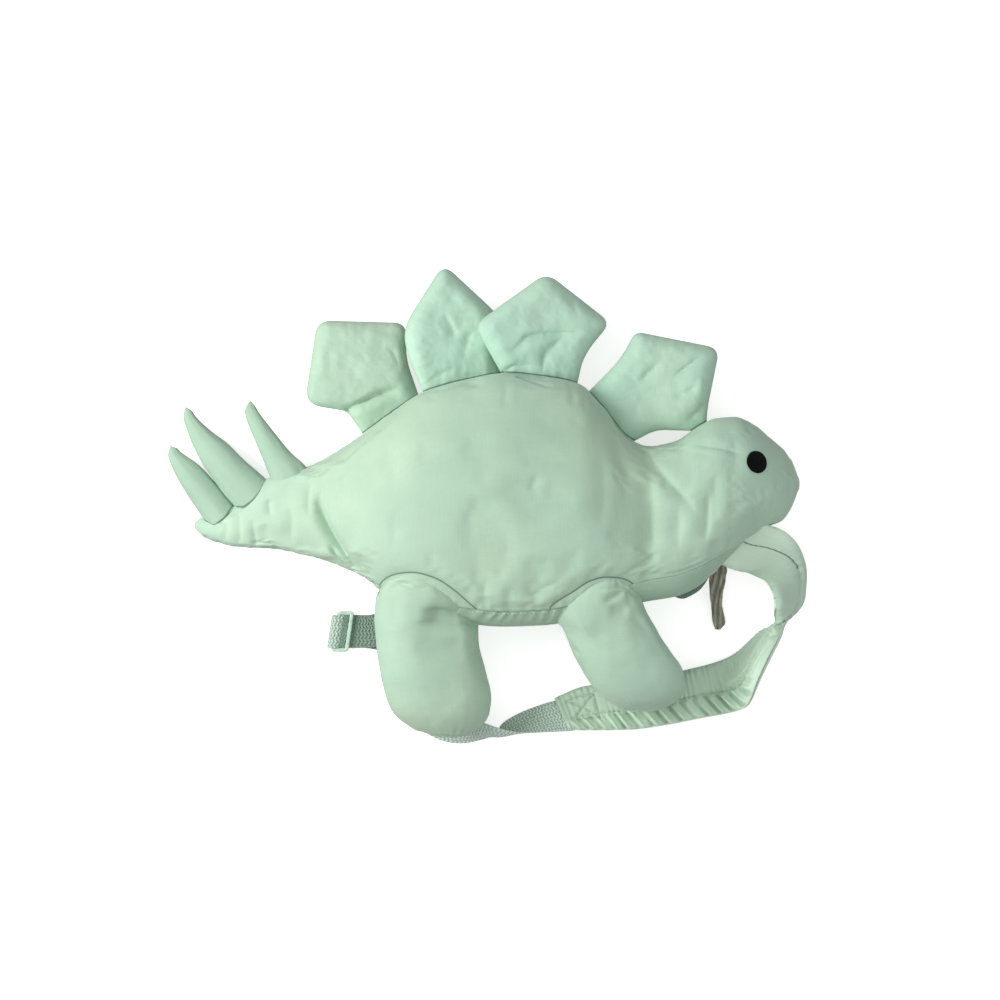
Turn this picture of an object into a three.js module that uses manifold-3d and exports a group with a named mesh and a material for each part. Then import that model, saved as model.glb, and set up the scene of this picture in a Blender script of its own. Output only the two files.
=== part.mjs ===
// Plush stegosaurus backpack, lying on its back panel with the front up.
// Millimetres. +X points to the head, +Y to the back plates, +Z up; the floor is z = 0.
import * as THREE from 'three';
import Module from 'manifold-3d';

const manifoldKit = await Module();
manifoldKit.setup();
const { Manifold, Mesh: ManifoldMesh } = manifoldKit;

// Cloth and clearance sizes
const GAP = 0.35;
const SEAM_GAP_TURN = 0.006;
const WALL_FRONT = 5;
const WALL_GUSSET = 3;
const WALL_BACK = 4;
const TAPE_THICK = 1.4;
const TAPE_SUNK = 0.6;
const TEETH_RISE = 0.8;
const DOME_POWER = 0.8;
const BACK_POWER = 0.4;
const BACK_FULLNESS = 1.2;

// Compartment: full wall thickness inside these ends, stuffed beyond them
const ROOM_TAIL_END = -116;
const ROOM_HEAD_END = 220;
const ROOM_EASE = 28;

// Zip, as shares of the height of the side seam
const ZIP_TOP = 0.38;
const ZIP_FOOT = 0.72;
const ZIP_FULL_INSET = 8;
const ZIP_START = -86;
const ZIP_END = 191;
const ZIP_SLIDER = { x: 172, long: 9, tall: 7, deep: 4.4 };

// Straps
const PAD_THICK = 8;
const FLOOR_AIR = 0.2;
const WEB_WIDTH = 25;
const WEB_THICK = 1.4;
const GATHER_PITCH = 9.5;
const GATHER_DEPTH = 0.22;
const SLIDE = { x: -109.5, y: -94.7, long: 13.4, wide: 31, bar: 3, base: 3.8, thick: 3, turn: 7 };
const DENT_AIR = 0.6;
const DENT_MARGIN = 10;
const DENT_EASE = 14;

// Mesh density
const BODY_STEPS = 41;
const FRONT_STEPS = 15;
const BACK_STEPS = 12;
const GUSSET_STEPS = 4;
const LEG_RINGS = 16;
const LEG_SIDES = 14;
const PLATE_SIDES = 26;
const SPIKE_RINGS = 7;
const SPIKE_SIDES = 10;
const WEB_STEPS = 32;

const COLOURS = {
  cloth: { color: 0xb9dcc4, roughness: 0.85, metalness: 0 },
  web: { color: 0xa9d3b7, roughness: 0.75, metalness: 0 },
  plastic: { color: 0xa4cdb4, roughness: 0.45, metalness: 0 },
  zip: { color: 0x9dbfa8, roughness: 0.7, metalness: 0 },
  metal: { color: 0xc8c8c4, roughness: 0.35, metalness: 1 },
  ribbon: { color: 0x9a9580, roughness: 0.8, metalness: 0 },
  eye: { color: 0x101010, roughness: 0.7, metalness: 0 },
};

const table = (columns, rows) => rows.map((row) => (
  Object.fromEntries(columns.map((name, i) => [name, row[i]]))
));

// Body sections from tail to nose: y of the spine and belly outlines, height of the crown, of the
// side seam and of the underside, and how far the front seam lies inside the belly outline.
const BODY = table(['x', 'spine', 'belly', 'crown', 'seam', 'under', 'inset'], [
  [-221.5, -12.5, -15.5, 10, 8, 5, 0],
  [-219, -9.5, -19, 15, 8.5, 3, 0],
  [-214, -7, -23, 21, 9.5, 1.5, 0],
  [-203, -3.5, -27, 27, 11.5, 0.5, 0],
  [-190, 3, -30, 33, 14, 0, 0],
  [-162, 22.5, -31.5, 43, 17.5, 0, 0],
  [-133, 31, -37, 52, 21, 0, 0],
  [-106, 46, -46, 67, 27, 0, 0],
  [-90, 57, -54, 77, 31, 0, 2],
  [-70, 71.5, -71, 86, 34, 0, 8],
  [-48, 85.5, -82, 92, 36, 0, 12],
  [-12, 96, -87.5, 95.5, 37, 0, 12.5],
  [12, 100, -89.5, 96, 37, 0, 12.5],
  [42, 97.5, -88.5, 95, 37, 0, 12.5],
  [68, 92.5, -84.5, 93, 36.5, 0, 13],
  [86, 76, -79, 89, 36, 0, 14.5],
  [106, 52, -73.5, 82, 34.5, 0, 16],
  [122, 45.5, -70.5, 79, 34, 0, 17],
  [142, 49.5, -67, 79, 33.5, 0, 17],
  [158, 60, -60, 78.5, 33, 0, 16],
  [172, 66.5, -47.5, 77, 32, 0, 11],
  [186, 67.5, -33.5, 73.5, 31, 0, 5],
  [198, 63, -21.5, 68.5, 29.5, 0, 0],
  [212, 52.5, -14.5, 60, 27, 0.5, 0],
  [222, 44, -10.5, 51, 24.5, 1.5, 0],
  [229, 35.5, -1, 42, 21.5, 3.5, 0],
  [233.5, 27.5, 7.5, 32, 18.5, 7, 0],
  [235.8, 19.5, 15.5, 22, 16, 11, 0],
]);

// Folds pressed into the front: a row for each straight run, with its depth and half width
const FOLDS = table(['x1', 'y1', 'x2', 'y2', 'depth', 'reach'], [
  [-126, 20, -122, -7, 2, 6],
  [-122, -7, -112, -29, 5, 7],
  [-112, -29, -98, -45, 6, 7],
  [121, 42, 132, 24, 3, 6],
  [132, 24, 155, -3, 3, 7],
  [117, 20, 119, -44, 3, 9],
  [160, 5, 160, -34, 2.5, 8],
  [146, 47, 192, 39, 1.5, 5],
]);

// Leg sections from the top seam to the foot: x of both sides, underside and top
const LEG_REAR = table(['y', 'left', 'right', 'under', 'over'], [
  [-50, -62, -35, 60, 80],
  [-57, -75, -24, 48, 82],
  [-67.5, -81.5, -13, 28, 82],
  [-81, -82.5, -7, 13, 80],
  [-100, -82, -5, 6.5, 76],
  [-122, -79, -0.5, 5.5, 72],
  [-141, -75.5, 2.5, 5.5, 67],
  [-154, -71, 1, 6, 61],
  [-164, -60, -4, 8.5, 52],
  [-172, -46, -14, 14, 41],
  [-175.5, -36.5, -26, 21, 33],
]);
const LEG_FRONT = table(['y', 'left', 'right', 'under', 'over'], [
  [-52.5, 79, 100, 60, 78],
  [-58.5, 66, 110, 46, 79.5],
  [-67.5, 55, 115, 26, 79],
  [-79, 50, 120.5, 14, 76],
  [-92, 55.5, 128, 11, 72],
  [-107, 63.5, 137, 10.5, 69],
  [-122, 72.5, 146, 10.5, 65],
  [-133.5, 79.5, 148.5, 11, 60],
  [-143.5, 89, 143, 14, 52],
  [-150, 99, 134.5, 19, 42],
  [-154, 110, 123.5, 25, 33],
]);
const LEG_SQUARENESS = 2.4;

// Plates: the corners of each outline with the radius there; the last two lie inside the body
const PLATE_CORNERS = [
  table(['x', 'y', 'round'], [
    [-93, 55, 2], [-105, 72, 5], [-136.5, 77, 13], [-127.5, 140.5, 11],
    [-60, 139, 9], [-57.5, 112, 12], [-50, 84, 2], [-44, 76, 1], [-87, 46, 1],
  ]),
  table(['x', 'y', 'round'], [
    [-47, 85, 2], [-60.5, 116, 16], [-62, 136, 14], [-32.5, 183.5, 11],
    [12, 142, 14], [8, 117, 12], [12, 99, 2], [12, 90, 1], [-44, 76, 1],
  ]),
  table(['x', 'y', 'round'], [
    [11, 100, 2], [-9.5, 136, 10], [45, 176.5, 11],
    [93.5, 139, 9], [73, 114, 14], [68, 91.5, 2], [66, 83, 1], [12, 91, 1],
  ]),
  table(['x', 'y', 'round'], [
    [75, 85, 2], [100, 110, 14], [112, 132, 6], [175.5, 119.5, 10], [166, 75, 8],
    [165, 62, 1], [156, 57, 1], [127, 58, 8], [110, 49, 2], [102, 45, 1], [70, 80, 1],
  ]),
];
// Plates: where the pillow is centred, its middle height, its slopes along x and y, its thickness
const PLATES = table(['x', 'y', 'height', 'slopeX', 'slopeY', 'thick'], [
  [-88, 105, 27, -0.12, -0.1, 19],
  [-28, 128, 30, -0.2, -0.1, 20],
  [42, 130, 34, -0.2, -0.08, 21],
  [128, 92, 33, -0.06, -0.12, 20],
]);
const PLATE_RINGS = table(['size', 'rise'], [
  [0.3, -1], [0.66, -0.84], [0.91, -0.45], [1, 0], [0.91, 0.45], [0.66, 0.84], [0.3, 1],
]);

// Tail spikes: middle of the base, tip, radius at the base, sideways bow of the axis
const SPIKES = table(['x', 'y', 'z', 'tipX', 'tipY', 'tipZ', 'radius', 'bow'], [
  [-201, -7, 16, -239, 45, 13, 12.4, 3],
  [-174, 10, 20, -227.5, 75, 16, 14.6, 3],
  [-148, 23, 22, -178.5, 79.5, 18, 13, 2],
]);
const SPIKE_FLATNESS = 0.85;

const EYE = { x: 200, y: 33.3, wide: 15.3, high: 16.9, turn: 0.5, thick: 1.3 };

// Padded strap that shows: both edges in plan, the width of the band and its height over the floor.
// Where the edges come closer than the width, the band stands up on its outer edge.
const PAD = table(['innerX', 'innerY', 'outerX', 'outerY', 'width', 'lift'], [
  [161, -27, 199, 0, 47, 25],
  [172, -40, 211, -13, 48, 25],
  [182.5, -46, 223, -18, 48, 22],
  [197, -51, 235.5, -30, 46, 12],
  [213.5, -61.5, 243, -50, 46, 2],
  [219.5, -77, 243.5, -71, 46, 0],
  [217.5, -93.5, 235, -90, 46, 0],
  [209, -107, 224.5, -106.5, 46, 0],
  [200, -114, 216, -131.5, 46, 0],
  [188.5, -118.5, 201, -151, 45, 0],
  [172.5, -122.5, 182.5, -159, 41, 0],
  [154, -125, 162, -163.5, 39.5, 0],
  [131.5, -130, 136, -167, 37.5, 0],
  [105, -136, 109.5, -169.5, 34, 0],
  [78.5, -140.5, 84.5, -170, 30.5, 0],
  [50, -146, 61, -170, 26.5, 0],
]);
const PAD_STEPS = 72;
const PAD_GATHER_FROM = 0.52;
const PAD_PROFILE = table(['across', 'over'], [
  [-1, 0.3], [-0.72, 0.9], [0.05, 1], [0.36, 0.62], [0.68, 1], [1, 0.3], [0.66, -0.95], [-0.72, -0.95],
]);

// Webbing along the floor: middle line and how far the band has rolled over
const WEB_RUN = table(['x', 'y', 'roll'], [
  [54, -158.2, 0],
  [41, -160.5, 10],
  [28, -163.5, 52],
  [15, -166.5, 98],
  [2, -168.5, 148],
  [-14, -169, 178],
  [-29.5, -167.5, 180],
  [-44.5, -160.5, 180],
  [-56, -146, 180],
  [-63.5, -127.5, 180],
  [-72, -110, 180],
  [-84, -99, 180],
  [-98, -95, 180],
  [-108, -94.7, 180],
]);
// Webbing from the slide back to the rump seam: middle line and height
const WEB_BACK = table(['x', 'y', 'z'], [
  [-113.6, -94.7, 7.8],
  [-112.4, -94.7, 7.7],
  [-106.3, -94.8, 2.75],
  [-104.5, -94.8, 2.7],
  [-92, -94.8, 2.7],
  [-80, -93, 2.9],
  [-66, -88, 4.5],
  [-54, -80, 7.5],
  [-47, -74, 8.5],
]);

// Second strap, flat under the back panel: middle line, width and thickness
const HIDDEN_PAD = table(['x', 'y', 'width'], [
  [152, 5, 44],
  [108, 16, 45],
  [62, 30, 45],
  [16, 38, 44],
  [-26, 36, 40],
  [-60, 22, 32],
  [-84, 0, 26.5],
]);
const HIDDEN_WEB = table(['x', 'y', 'width'], [
  [-84.9, -1, 25],
  [-92, -9, 25],
  [-98, -21, 25],
  [-101, -37, 25],
]);

// Ribbon on the zip slider: middle line, width and turn of the band
const PULL = table(['x', 'y', 'z', 'width', 'roll'], [
  [177, -54.3, 14.5, 8, 0],
  [175.4, -61, 14, 11.5, 6],
  [173.2, -70, 11, 10, 18],
  [174, -79, 7, 8, 24],
  [176, -88, 4.6, 8.5, 10],
  [177.6, -98.5, 3, 9.5, 0],
]);
const PULL_THICK = 2.6;

const TAU = 2 * Math.PI;
const clamp01 = (value) => Math.min(1, Math.max(0, value));
const ease = (value) => clamp01(value) ** 2 * (3 - 2 * clamp01(value));
const mix = (a, b, share) => a + (b - a) * share;
const steps = (count) => Array.from({ length: count + 1 }, (_, i) => i / count);
const point = (x, y, z) => new THREE.Vector3(x, y, z);

/** A smooth curve through points that never overshoots between two of them. */
function curveThrough(at, values) {
  const slope = at.slice(1).map((x, i) => (values[i + 1] - values[i]) / (x - at[i]));
  const tangent = at.map((_, i) => {
    if (i === 0) return slope[0];
    if (i === at.length - 1) return slope[i - 1];
    const before = slope[i - 1];
    const after = slope[i];
    if (before * after <= 0) return 0;
    return (2 * before * after) / (before + after);
  });
  return (x) => {
    let i = at.findIndex((edge, k) => k > 0 && x <= edge) - 1;
    if (i < 0) i = x <= at[0] ? 0 : at.length - 2;
    const span = at[i + 1] - at[i];
    const t = clamp01((x - at[i]) / span);
    const a = (1 + 2 * t) * (1 - t) ** 2 * values[i] + t * (1 - t) ** 2 * span * tangent[i];
    const b = t * t * (3 - 2 * t) * values[i + 1] - t * t * (1 - t) * span * tangent[i + 1];
    return a + b;
  };
}

/** All columns of a table as smooth functions of one of them, or of the share along the rows. */
function smoothTable(rows, key) {
  const at = rows.map((row, i) => (key ? row[key] : i / (rows.length - 1)));
  const flip = at[0] > at[at.length - 1];
  const order = (list) => (flip ? [...list].reverse() : list);
  const columns = Object.keys(rows[0]).filter((name) => name !== key);
  const curves = columns.map((name) => curveThrough(order(at), order(rows.map((row) => row[name]))));
  return (x) => Object.fromEntries(columns.map((name, i) => [name, curves[i](x)]));
}

/** A geometry from shared corner points and triangles, turned so that its faces look out. */
function solidFrom(corners, faces) {
  let volume = 0;
  for (const [a, b, c] of faces) volume += corners[a].dot(corners[b].clone().cross(corners[c])) / 6;
  const turned = volume < 0 ? faces.map(([a, b, c]) => [a, c, b]) : faces;
  const geometry = new THREE.BufferGeometry();
  const flat = corners.flatMap((p) => p.toArray());
  geometry.setAttribute('position', new THREE.Float32BufferAttribute(flat, 3));
  geometry.setIndex(turned.flat());
  return geometry;
}

/** A closed wall between an outer and an inner net of points with the same rows and columns. */
function wallSolid(outer, inner) {
  const rows = outer.length;
  const columns = outer[0].length;
  const corners = [...outer.flat(), ...inner.flat()];
  const o = (i, j) => i * columns + j;
  const n = (i, j) => rows * columns + o(i, j);
  const faces = [];
  const quad = (a, b, c, d) => faces.push([a, b, c], [a, c, d]);
  for (let i = 0; i < rows - 1; i += 1) {
    for (let j = 0; j < columns - 1; j += 1) {
      quad(o(i, j), o(i, j + 1), o(i + 1, j + 1), o(i + 1, j));
      quad(n(i, j), n(i + 1, j), n(i + 1, j + 1), n(i, j + 1));
    }
    quad(o(i, 0), o(i + 1, 0), n(i + 1, 0), n(i, 0));
    quad(o(i + 1, columns - 1), o(i, columns - 1), n(i, columns - 1), n(i + 1, columns - 1));
  }
  for (let j = 0; j < columns - 1; j += 1) {
    quad(o(0, j + 1), o(0, j), n(0, j), n(0, j + 1));
    quad(o(rows - 1, j), o(rows - 1, j + 1), n(rows - 1, j + 1), n(rows - 1, j));
  }
  return solidFrom(corners, faces);
}

/** A closed solid through a row of rings with equal point counts, capped at both ends. */
function ringSolid(rings) {
  const sides = rings[0].length;
  const corners = rings.flat();
  const faces = [];
  for (let i = 0; i < rings.length - 1; i += 1) {
    for (let j = 0; j < sides; j += 1) {
      const k = (j + 1) % sides;
      const a = i * sides;
      faces.push([a + j, a + k, a + sides + k], [a + j, a + sides + k, a + sides + j]);
    }
  }
  const cap = (ring, start, back) => {
    const middle = ring.reduce((sum, p) => sum.add(p), point(0, 0, 0)).divideScalar(sides);
    const centre = corners.push(middle) - 1;
    for (let j = 0; j < sides; j += 1) {
      const k = (j + 1) % sides;
      faces.push(back ? [start + k, start + j, centre] : [start + j, start + k, centre]);
    }
  };
  cap(rings[0], 0, true);
  cap(rings[rings.length - 1], (rings.length - 1) * sides, false);
  return solidFrom(corners, faces);
}

const toManifold = (geometry) => new Manifold(new ManifoldMesh({
  numProp: 3,
  vertProperties: Float32Array.from(geometry.attributes.position.array),
  triVerts: Uint32Array.from(geometry.index.array),
}));

/** The largest body of a manifold, as a geometry. */
function fromManifold(solid) {
  const whole = solid.decompose().reduce((best, part) => (part.volume() > best.volume() ? part : best));
  const { vertProperties, triVerts, numProp } = whole.getMesh();
  const geometry = new THREE.BufferGeometry();
  const flat = Array.from({ length: (vertProperties.length / numProp) * 3 }, (_, i) => (
    vertProperties[Math.floor(i / 3) * numProp + (i % 3)]
  ));
  geometry.setAttribute('position', new THREE.Float32BufferAttribute(flat, 3));
  geometry.setIndex(Array.from(triVerts));
  return geometry;
}

/** Distance from a point in plan to a run between two points. */
function toRun(x, y, x1, y1, x2, y2) {
  const square = (x2 - x1) ** 2 + (y2 - y1) ** 2;
  const along = clamp01(((x - x1) * (x2 - x1) + (y - y1) * (y2 - y1)) / square);
  return Math.hypot(x - mix(x1, x2, along), y - mix(y1, y2, along));
}

const bodyAt = smoothTable(BODY, 'x');
const foldDepth = (x, y) => FOLDS.reduce((most, fold) => {
  const away = toRun(x, y, fold.x1, fold.y1, fold.x2, fold.y2) / fold.reach;
  return Math.max(most, fold.depth * Math.exp(-away * away));
}, 0);

/** Height to which the strap under the back panel pushes the cloth up. */
function strapDent(x, y) {
  const press = (rows, thick) => rows.slice(1).reduce((most, row, i) => {
    const away = toRun(x, y, rows[i].x, rows[i].y, row.x, row.y) - Math.max(row.width, rows[i].width) / 2;
    return Math.max(most, (thick + FLOOR_AIR + DENT_AIR) * ease(1 - (away - DENT_MARGIN) / DENT_EASE));
  }, 0);
  return Math.max(press(HIDDEN_PAD, PAD_THICK), press(HIDDEN_WEB, WEB_THICK));
}

/** A point of the body's skin: turn 0 at the spine seam, half a turn at the belly, over the front. */
function skin(x, turn, inset = 0, room = 1) {
  const s = bodyAt(x);
  const half = (s.spine - s.belly) / 2;
  const reach = Math.max(0.35 * half, half - inset);
  const y = (s.spine + s.belly) / 2 + reach * Math.cos(turn);
  const swell = Math.abs(Math.sin(turn));
  if (turn <= Math.PI) {
    const fold = foldDepth(x, y) * Math.min(1, 1.5 * swell);
    const rise = (s.crown - inset - s.seam) * swell ** DOME_POWER - fold;
    return point(x, y, s.seam + room * Math.max(0, rise));
  }
  const foot = s.under + inset;
  const drop = BACK_FULLNESS * (s.seam - foot) * swell ** BACK_POWER;
  const low = Math.max(foot, s.seam - drop, Math.min(s.seam, strapDent(x, y) + inset));
  return point(x, y, mix(s.seam, low, room));
}

/** The turn, below the belly outline, at which the skin has a given height. */
function turnAtHeight(x, height) {
  const s = bodyAt(x);
  const swell = clamp01((s.seam - height) / (BACK_FULLNESS * (s.seam - s.under))) ** (1 / BACK_POWER);
  return Math.PI + Math.asin(swell);
}

function frontSeamTurn(x) {
  const s = bodyAt(x);
  return Math.PI - Math.acos(1 - Math.max(0, s.inset) / ((s.spine - s.belly) / 2));
}

function zipHeights(x) {
  const s = bodyAt(x);
  const share = clamp01(s.inset / ZIP_FULL_INSET);
  return { top: s.seam * (1 - ZIP_TOP * share), foot: s.seam * (1 - ZIP_FOOT * share) };
}

const roomAt = (x) => ease((x - ROOM_TAIL_END) / ROOM_EASE) * ease((ROOM_HEAD_END - x) / ROOM_EASE);
const TAIL_TIP = BODY[0].x;
const NOSE_TIP = BODY[BODY.length - 1].x;
const bodyX = steps(BODY_STEPS).map((u) => {
  const crowded = (1 - Math.cos(Math.PI * u)) / 2;
  return mix(TAIL_TIP, NOSE_TIP, mix(u, crowded, 0.5));
});
const zipX = bodyX.filter((x) => x > ZIP_START && x < ZIP_END);
const net = (xs, turns, at) => xs.map((x) => turns(x).map((turn, j) => at(x, turn, j)));
const between = (from, to, count) => steps(count).map((u) => mix(from, to, u));

function frontPanel() {
  const turns = (x) => between(0, frontSeamTurn(x), FRONT_STEPS);
  const lift = (p) => p.setZ(p.z + GAP);
  const outer = net(bodyX, turns, (x, turn) => lift(skin(x, turn)));
  const inner = net(bodyX, turns, (x, turn) => lift(skin(x, turn, WALL_FRONT, roomAt(x))));
  return wallSolid(outer, inner);
}

function backPanel() {
  const turns = (x) => {
    const first = turnAtHeight(x, zipHeights(x).foot);
    return steps(BACK_STEPS).map((u) => {
      const spread = TAU - Math.acos(mix(Math.cos(first), 1, u));
      return mix(mix(first, TAU, u), spread, 0.6);
    });
  };
  const outer = net(bodyX, turns, (x, turn) => skin(x, turn));
  const inner = net(bodyX, turns, (x, turn) => skin(x, turn, WALL_BACK, roomAt(x)));
  return wallSolid(outer, inner);
}

function bellyGusset() {
  const turns = (x) => {
    const top = frontSeamTurn(x) + SEAM_GAP_TURN;
    return between(top, turnAtHeight(x, zipHeights(x).top), GUSSET_STEPS);
  };
  const outer = net(zipX, turns, (x, turn) => skin(x, turn));
  const inner = net(zipX, turns, (x, turn) => skin(x, turn, WALL_GUSSET));
  return wallSolid(outer, inner);
}

function zipTape() {
  const turns = (x) => {
    const { top, foot } = zipHeights(x);
    return steps(4).map((u) => turnAtHeight(x, mix(top - GAP, foot + 2 * GAP, u)));
  };
  const sunk = [0.8, TAPE_SUNK, TAPE_SUNK - TEETH_RISE, TAPE_SUNK, 0.8];
  const outer = net(zipX, turns, (x, turn, j) => skin(x, turn, sunk[j]));
  const inner = net(zipX, turns, (x, turn) => skin(x, turn, TAPE_SUNK + TAPE_THICK));
  return wallSolid(outer, inner);
}

/** The whole body with no hollow, grown by a clearance, for seating what is sewn to it. */
const bodyForm = toManifold(ringSolid(bodyX.map((x) => (
  between(0, TAU * (1 - 1 / 44), 43).map((turn) => {
    const p = skin(x, turn, -2 * GAP);
    return turn <= Math.PI ? p.setZ(p.z + GAP) : p;
  })
))));
const seated = (geometry) => fromManifold(toManifold(geometry).subtract(bodyForm));

function leg(rows) {
  const at = smoothTable(rows, 'y');
  const rings = steps(LEG_RINGS).map((u) => {
    const y = mix(rows[0].y, rows[rows.length - 1].y, mix(u, (1 - Math.cos(Math.PI * u)) / 2, 0.6));
    const s = at(y);
    return between(0, TAU * (1 - 1 / LEG_SIDES), LEG_SIDES - 1).map((turn) => {
      const round = (value) => Math.sign(value) * Math.abs(value) ** (2 / LEG_SQUARENESS);
      const x = mix(s.left, s.right, 0.5 + 0.5 * round(Math.cos(turn)));
      return point(x, y, mix(s.under, s.over, 0.5 + 0.5 * round(Math.sin(turn))));
    });
  });
  return seated(ringSolid(rings));
}

/** Evenly spaced points on a polygon with rounded corners. */
function roundedOutline(corners, count) {
  const dense = corners.flatMap((corner, i) => {
    const before = corners[(i + corners.length - 1) % corners.length];
    const after = corners[(i + 1) % corners.length];
    const here = new THREE.Vector2(corner.x, corner.y);
    const towards = (other) => {
      const way = new THREE.Vector2(other.x, other.y).sub(here);
      const room = Math.min(corner.round, 0.48 * way.length());
      return here.clone().addScaledVector(way.normalize(), room);
    };
    const bend = new THREE.QuadraticBezierCurve(towards(before), here, towards(after));
    return bend.getPoints(6);
  });
  const path = new THREE.CurvePath();
  dense.forEach((p, i) => path.add(new THREE.LineCurve(p, dense[(i + 1) % dense.length])));
  return path.getSpacedPoints(count).slice(0, count);
}

function plate(corners, row) {
  const outline = roundedOutline(corners, PLATE_SIDES);
  const rings = PLATE_RINGS.map(({ size, rise }) => outline.map((p) => {
    const x = mix(row.x, p.x, size);
    const y = mix(row.y, p.y, size);
    const middle = row.height + row.slopeX * (x - row.x) + row.slopeY * (y - row.y);
    return point(x, y, middle + (rise * row.thick) / 2);
  }));
  return seated(ringSolid(rings));
}

function spike(row) {
  const base = point(row.x, row.y, row.z);
  const tip = point(row.tipX, row.tipY, row.tipZ);
  const axis = tip.clone().sub(base).normalize();
  const side = point(0, 0, 1).cross(axis).normalize();
  const rings = steps(SPIKE_RINGS).map((u) => {
    const along = mix(-0.12, 1, u);
    const radius = row.radius * Math.max(0.12, (1 - clamp01(along) ** 1.6)) * (u === 1 ? 0.5 : 1);
    const bow = row.bow * Math.sin(Math.PI * clamp01(along));
    const middle = base.clone().lerp(tip, along).addScaledVector(side, bow);
    return between(0, TAU * (1 - 1 / SPIKE_SIDES), SPIKE_SIDES - 1).map((turn) => middle.clone()
      .addScaledVector(side, radius * Math.cos(turn))
      .addScaledVector(point(0, 0, 1), radius * SPIKE_FLATNESS * Math.sin(turn)));
  });
  return seated(ringSolid(rings));
}

/** Height of the front panel over a point in plan. */
function frontHeight(x, y) {
  const s = bodyAt(x);
  const across = (y - (s.spine + s.belly) / 2) / ((s.spine - s.belly) / 2);
  return skin(x, Math.acos(Math.min(1, Math.max(-1, across)))).z + GAP;
}

function eye() {
  const sizes = [0.4, 0.8, 1];
  const ring = (size, rise) => between(0, TAU * (1 - 1 / 12), 11).map((turn) => {
    const across = (EYE.wide / 2) * size * Math.cos(turn);
    const up = (EYE.high / 2) * size * Math.sin(turn);
    const x = EYE.x + across * Math.cos(EYE.turn) - up * Math.sin(EYE.turn);
    const y = EYE.y + across * Math.sin(EYE.turn) + up * Math.cos(EYE.turn);
    return point(x, y, frontHeight(x, y) + rise);
  });
  const under = sizes.map((size) => ring(size, 2 * GAP));
  const swell = (size) => EYE.thick * (1.15 - 0.5 * size * size);
  const over = [...sizes].reverse().map((size) => ring(size, 2 * GAP + swell(size)));
  return ringSolid([...under, ...over]);
}

/** A band through stations, each with its middle, the directions across and over it, and half sizes. */
function bandSolid(stations, profile) {
  return ringSolid(stations.map((s) => profile.map(({ across, over }) => s.middle.clone()
    .addScaledVector(s.side, across * s.halfWidth)
    .addScaledVector(s.normal, over * s.halfThick * (across > 0 ? s.swell ?? 1 : 1)))));
}

const FLAT_PROFILE = table(['across', 'over'], [[-1, -1], [1, -1], [1, 1], [-1, 1]]);

/** Stations of a band from its middle line and the way its face looks at each place. */
function stationsFrom(middles, normals, widths, thick) {
  return middles.map((middle, i) => {
    const ahead = middles[Math.min(i + 1, middles.length - 1)];
    const heading = ahead.clone().sub(middles[Math.max(i - 1, 0)]).normalize();
    const side = normals[i].clone().cross(heading).normalize();
    const normal = heading.clone().cross(side).normalize();
    return { middle, side, normal, halfWidth: widths[i] / 2, halfThick: thick / 2 };
  });
}

function bellyStrapPad() {
  const at = smoothTable(PAD);
  const rails = steps(PAD_STEPS).map((u) => {
    const s = at(u);
    const plan = Math.hypot(s.outerX - s.innerX, s.outerY - s.innerY);
    const width = Math.max(s.width, plan);
    const lean = Math.acos(Math.min(1, plan / width));
    const foot = s.lift + FLOOR_AIR + (PAD_THICK / 2) * (1 - Math.sin(lean)) * 1.06;
    const inner = point(s.innerX, s.innerY, foot + width * Math.sin(lean));
    return { inner, outer: point(s.outerX, s.outerY, foot), share: u };
  });
  const middles = rails.map(({ inner, outer }) => inner.clone().lerp(outer, 0.5));
  let along = 0;
  const stations = rails.map(({ inner, outer, share }, i) => {
    if (i > 0) along += middles[i].distanceTo(middles[i - 1]);
    const ahead = middles[Math.min(i + 1, PAD_STEPS)];
    const heading = ahead.clone().sub(middles[Math.max(i - 1, 0)]).normalize();
    const side = outer.clone().sub(inner).normalize();
    const normal = side.clone().cross(heading).normalize();
    if (normal.z < 0) normal.negate();
    const gathers = ease((share - PAD_GATHER_FROM) / 0.1) * GATHER_DEPTH;
    const swell = 1 - gathers * (0.5 + 0.5 * Math.cos((TAU * along) / GATHER_PITCH));
    const halfWidth = inner.distanceTo(outer) / 2;
    return { middle: middles[i], side, normal, halfWidth, halfThick: PAD_THICK / 2, swell };
  });
  return seated(bandSolid(stations, PAD_PROFILE));
}

function bellyStrapWebbing() {
  const at = smoothTable(WEB_RUN);
  const floorRun = steps(WEB_STEPS).map((u) => {
    const s = at(u);
    const roll = THREE.MathUtils.degToRad(s.roll);
    const z = FLOOR_AIR + WEB_THICK / 2 + (WEB_WIDTH / 2) * Math.abs(Math.sin(roll));
    return { middle: point(s.x, s.y, z), roll };
  });
  const middles = floorRun.map((s) => s.middle);
  const normals = floorRun.map(({ roll }, i) => {
    const ahead = middles[Math.min(i + 1, WEB_STEPS)];
    const heading = ahead.clone().sub(middles[Math.max(i - 1, 0)]).setZ(0).normalize();
    return point(0, 0, 1).applyAxisAngle(heading, roll);
  });
  const start = middles[middles.length - 1];
  const top = WEB_BACK[0].z;
  const bend = (top - start.z) / 2;
  const bendX = SLIDE.x - SLIDE.long / 2 + 0.7;
  for (const share of steps(8)) {
    const turn = Math.PI * share;
    const out = point(-Math.sin(turn), 0, -Math.cos(turn));
    middles.push(point(bendX, SLIDE.y, start.z + bend).addScaledVector(out, bend));
    normals.push(out);
  }
  for (const row of WEB_BACK) {
    middles.push(point(row.x, row.y, row.z));
    normals.push(point(0, 0, 1));
  }
  const widths = middles.map(() => WEB_WIDTH);
  return seated(bandSolid(stationsFrom(middles, normals, widths, WEB_THICK), FLAT_PROFILE));
}

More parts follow.
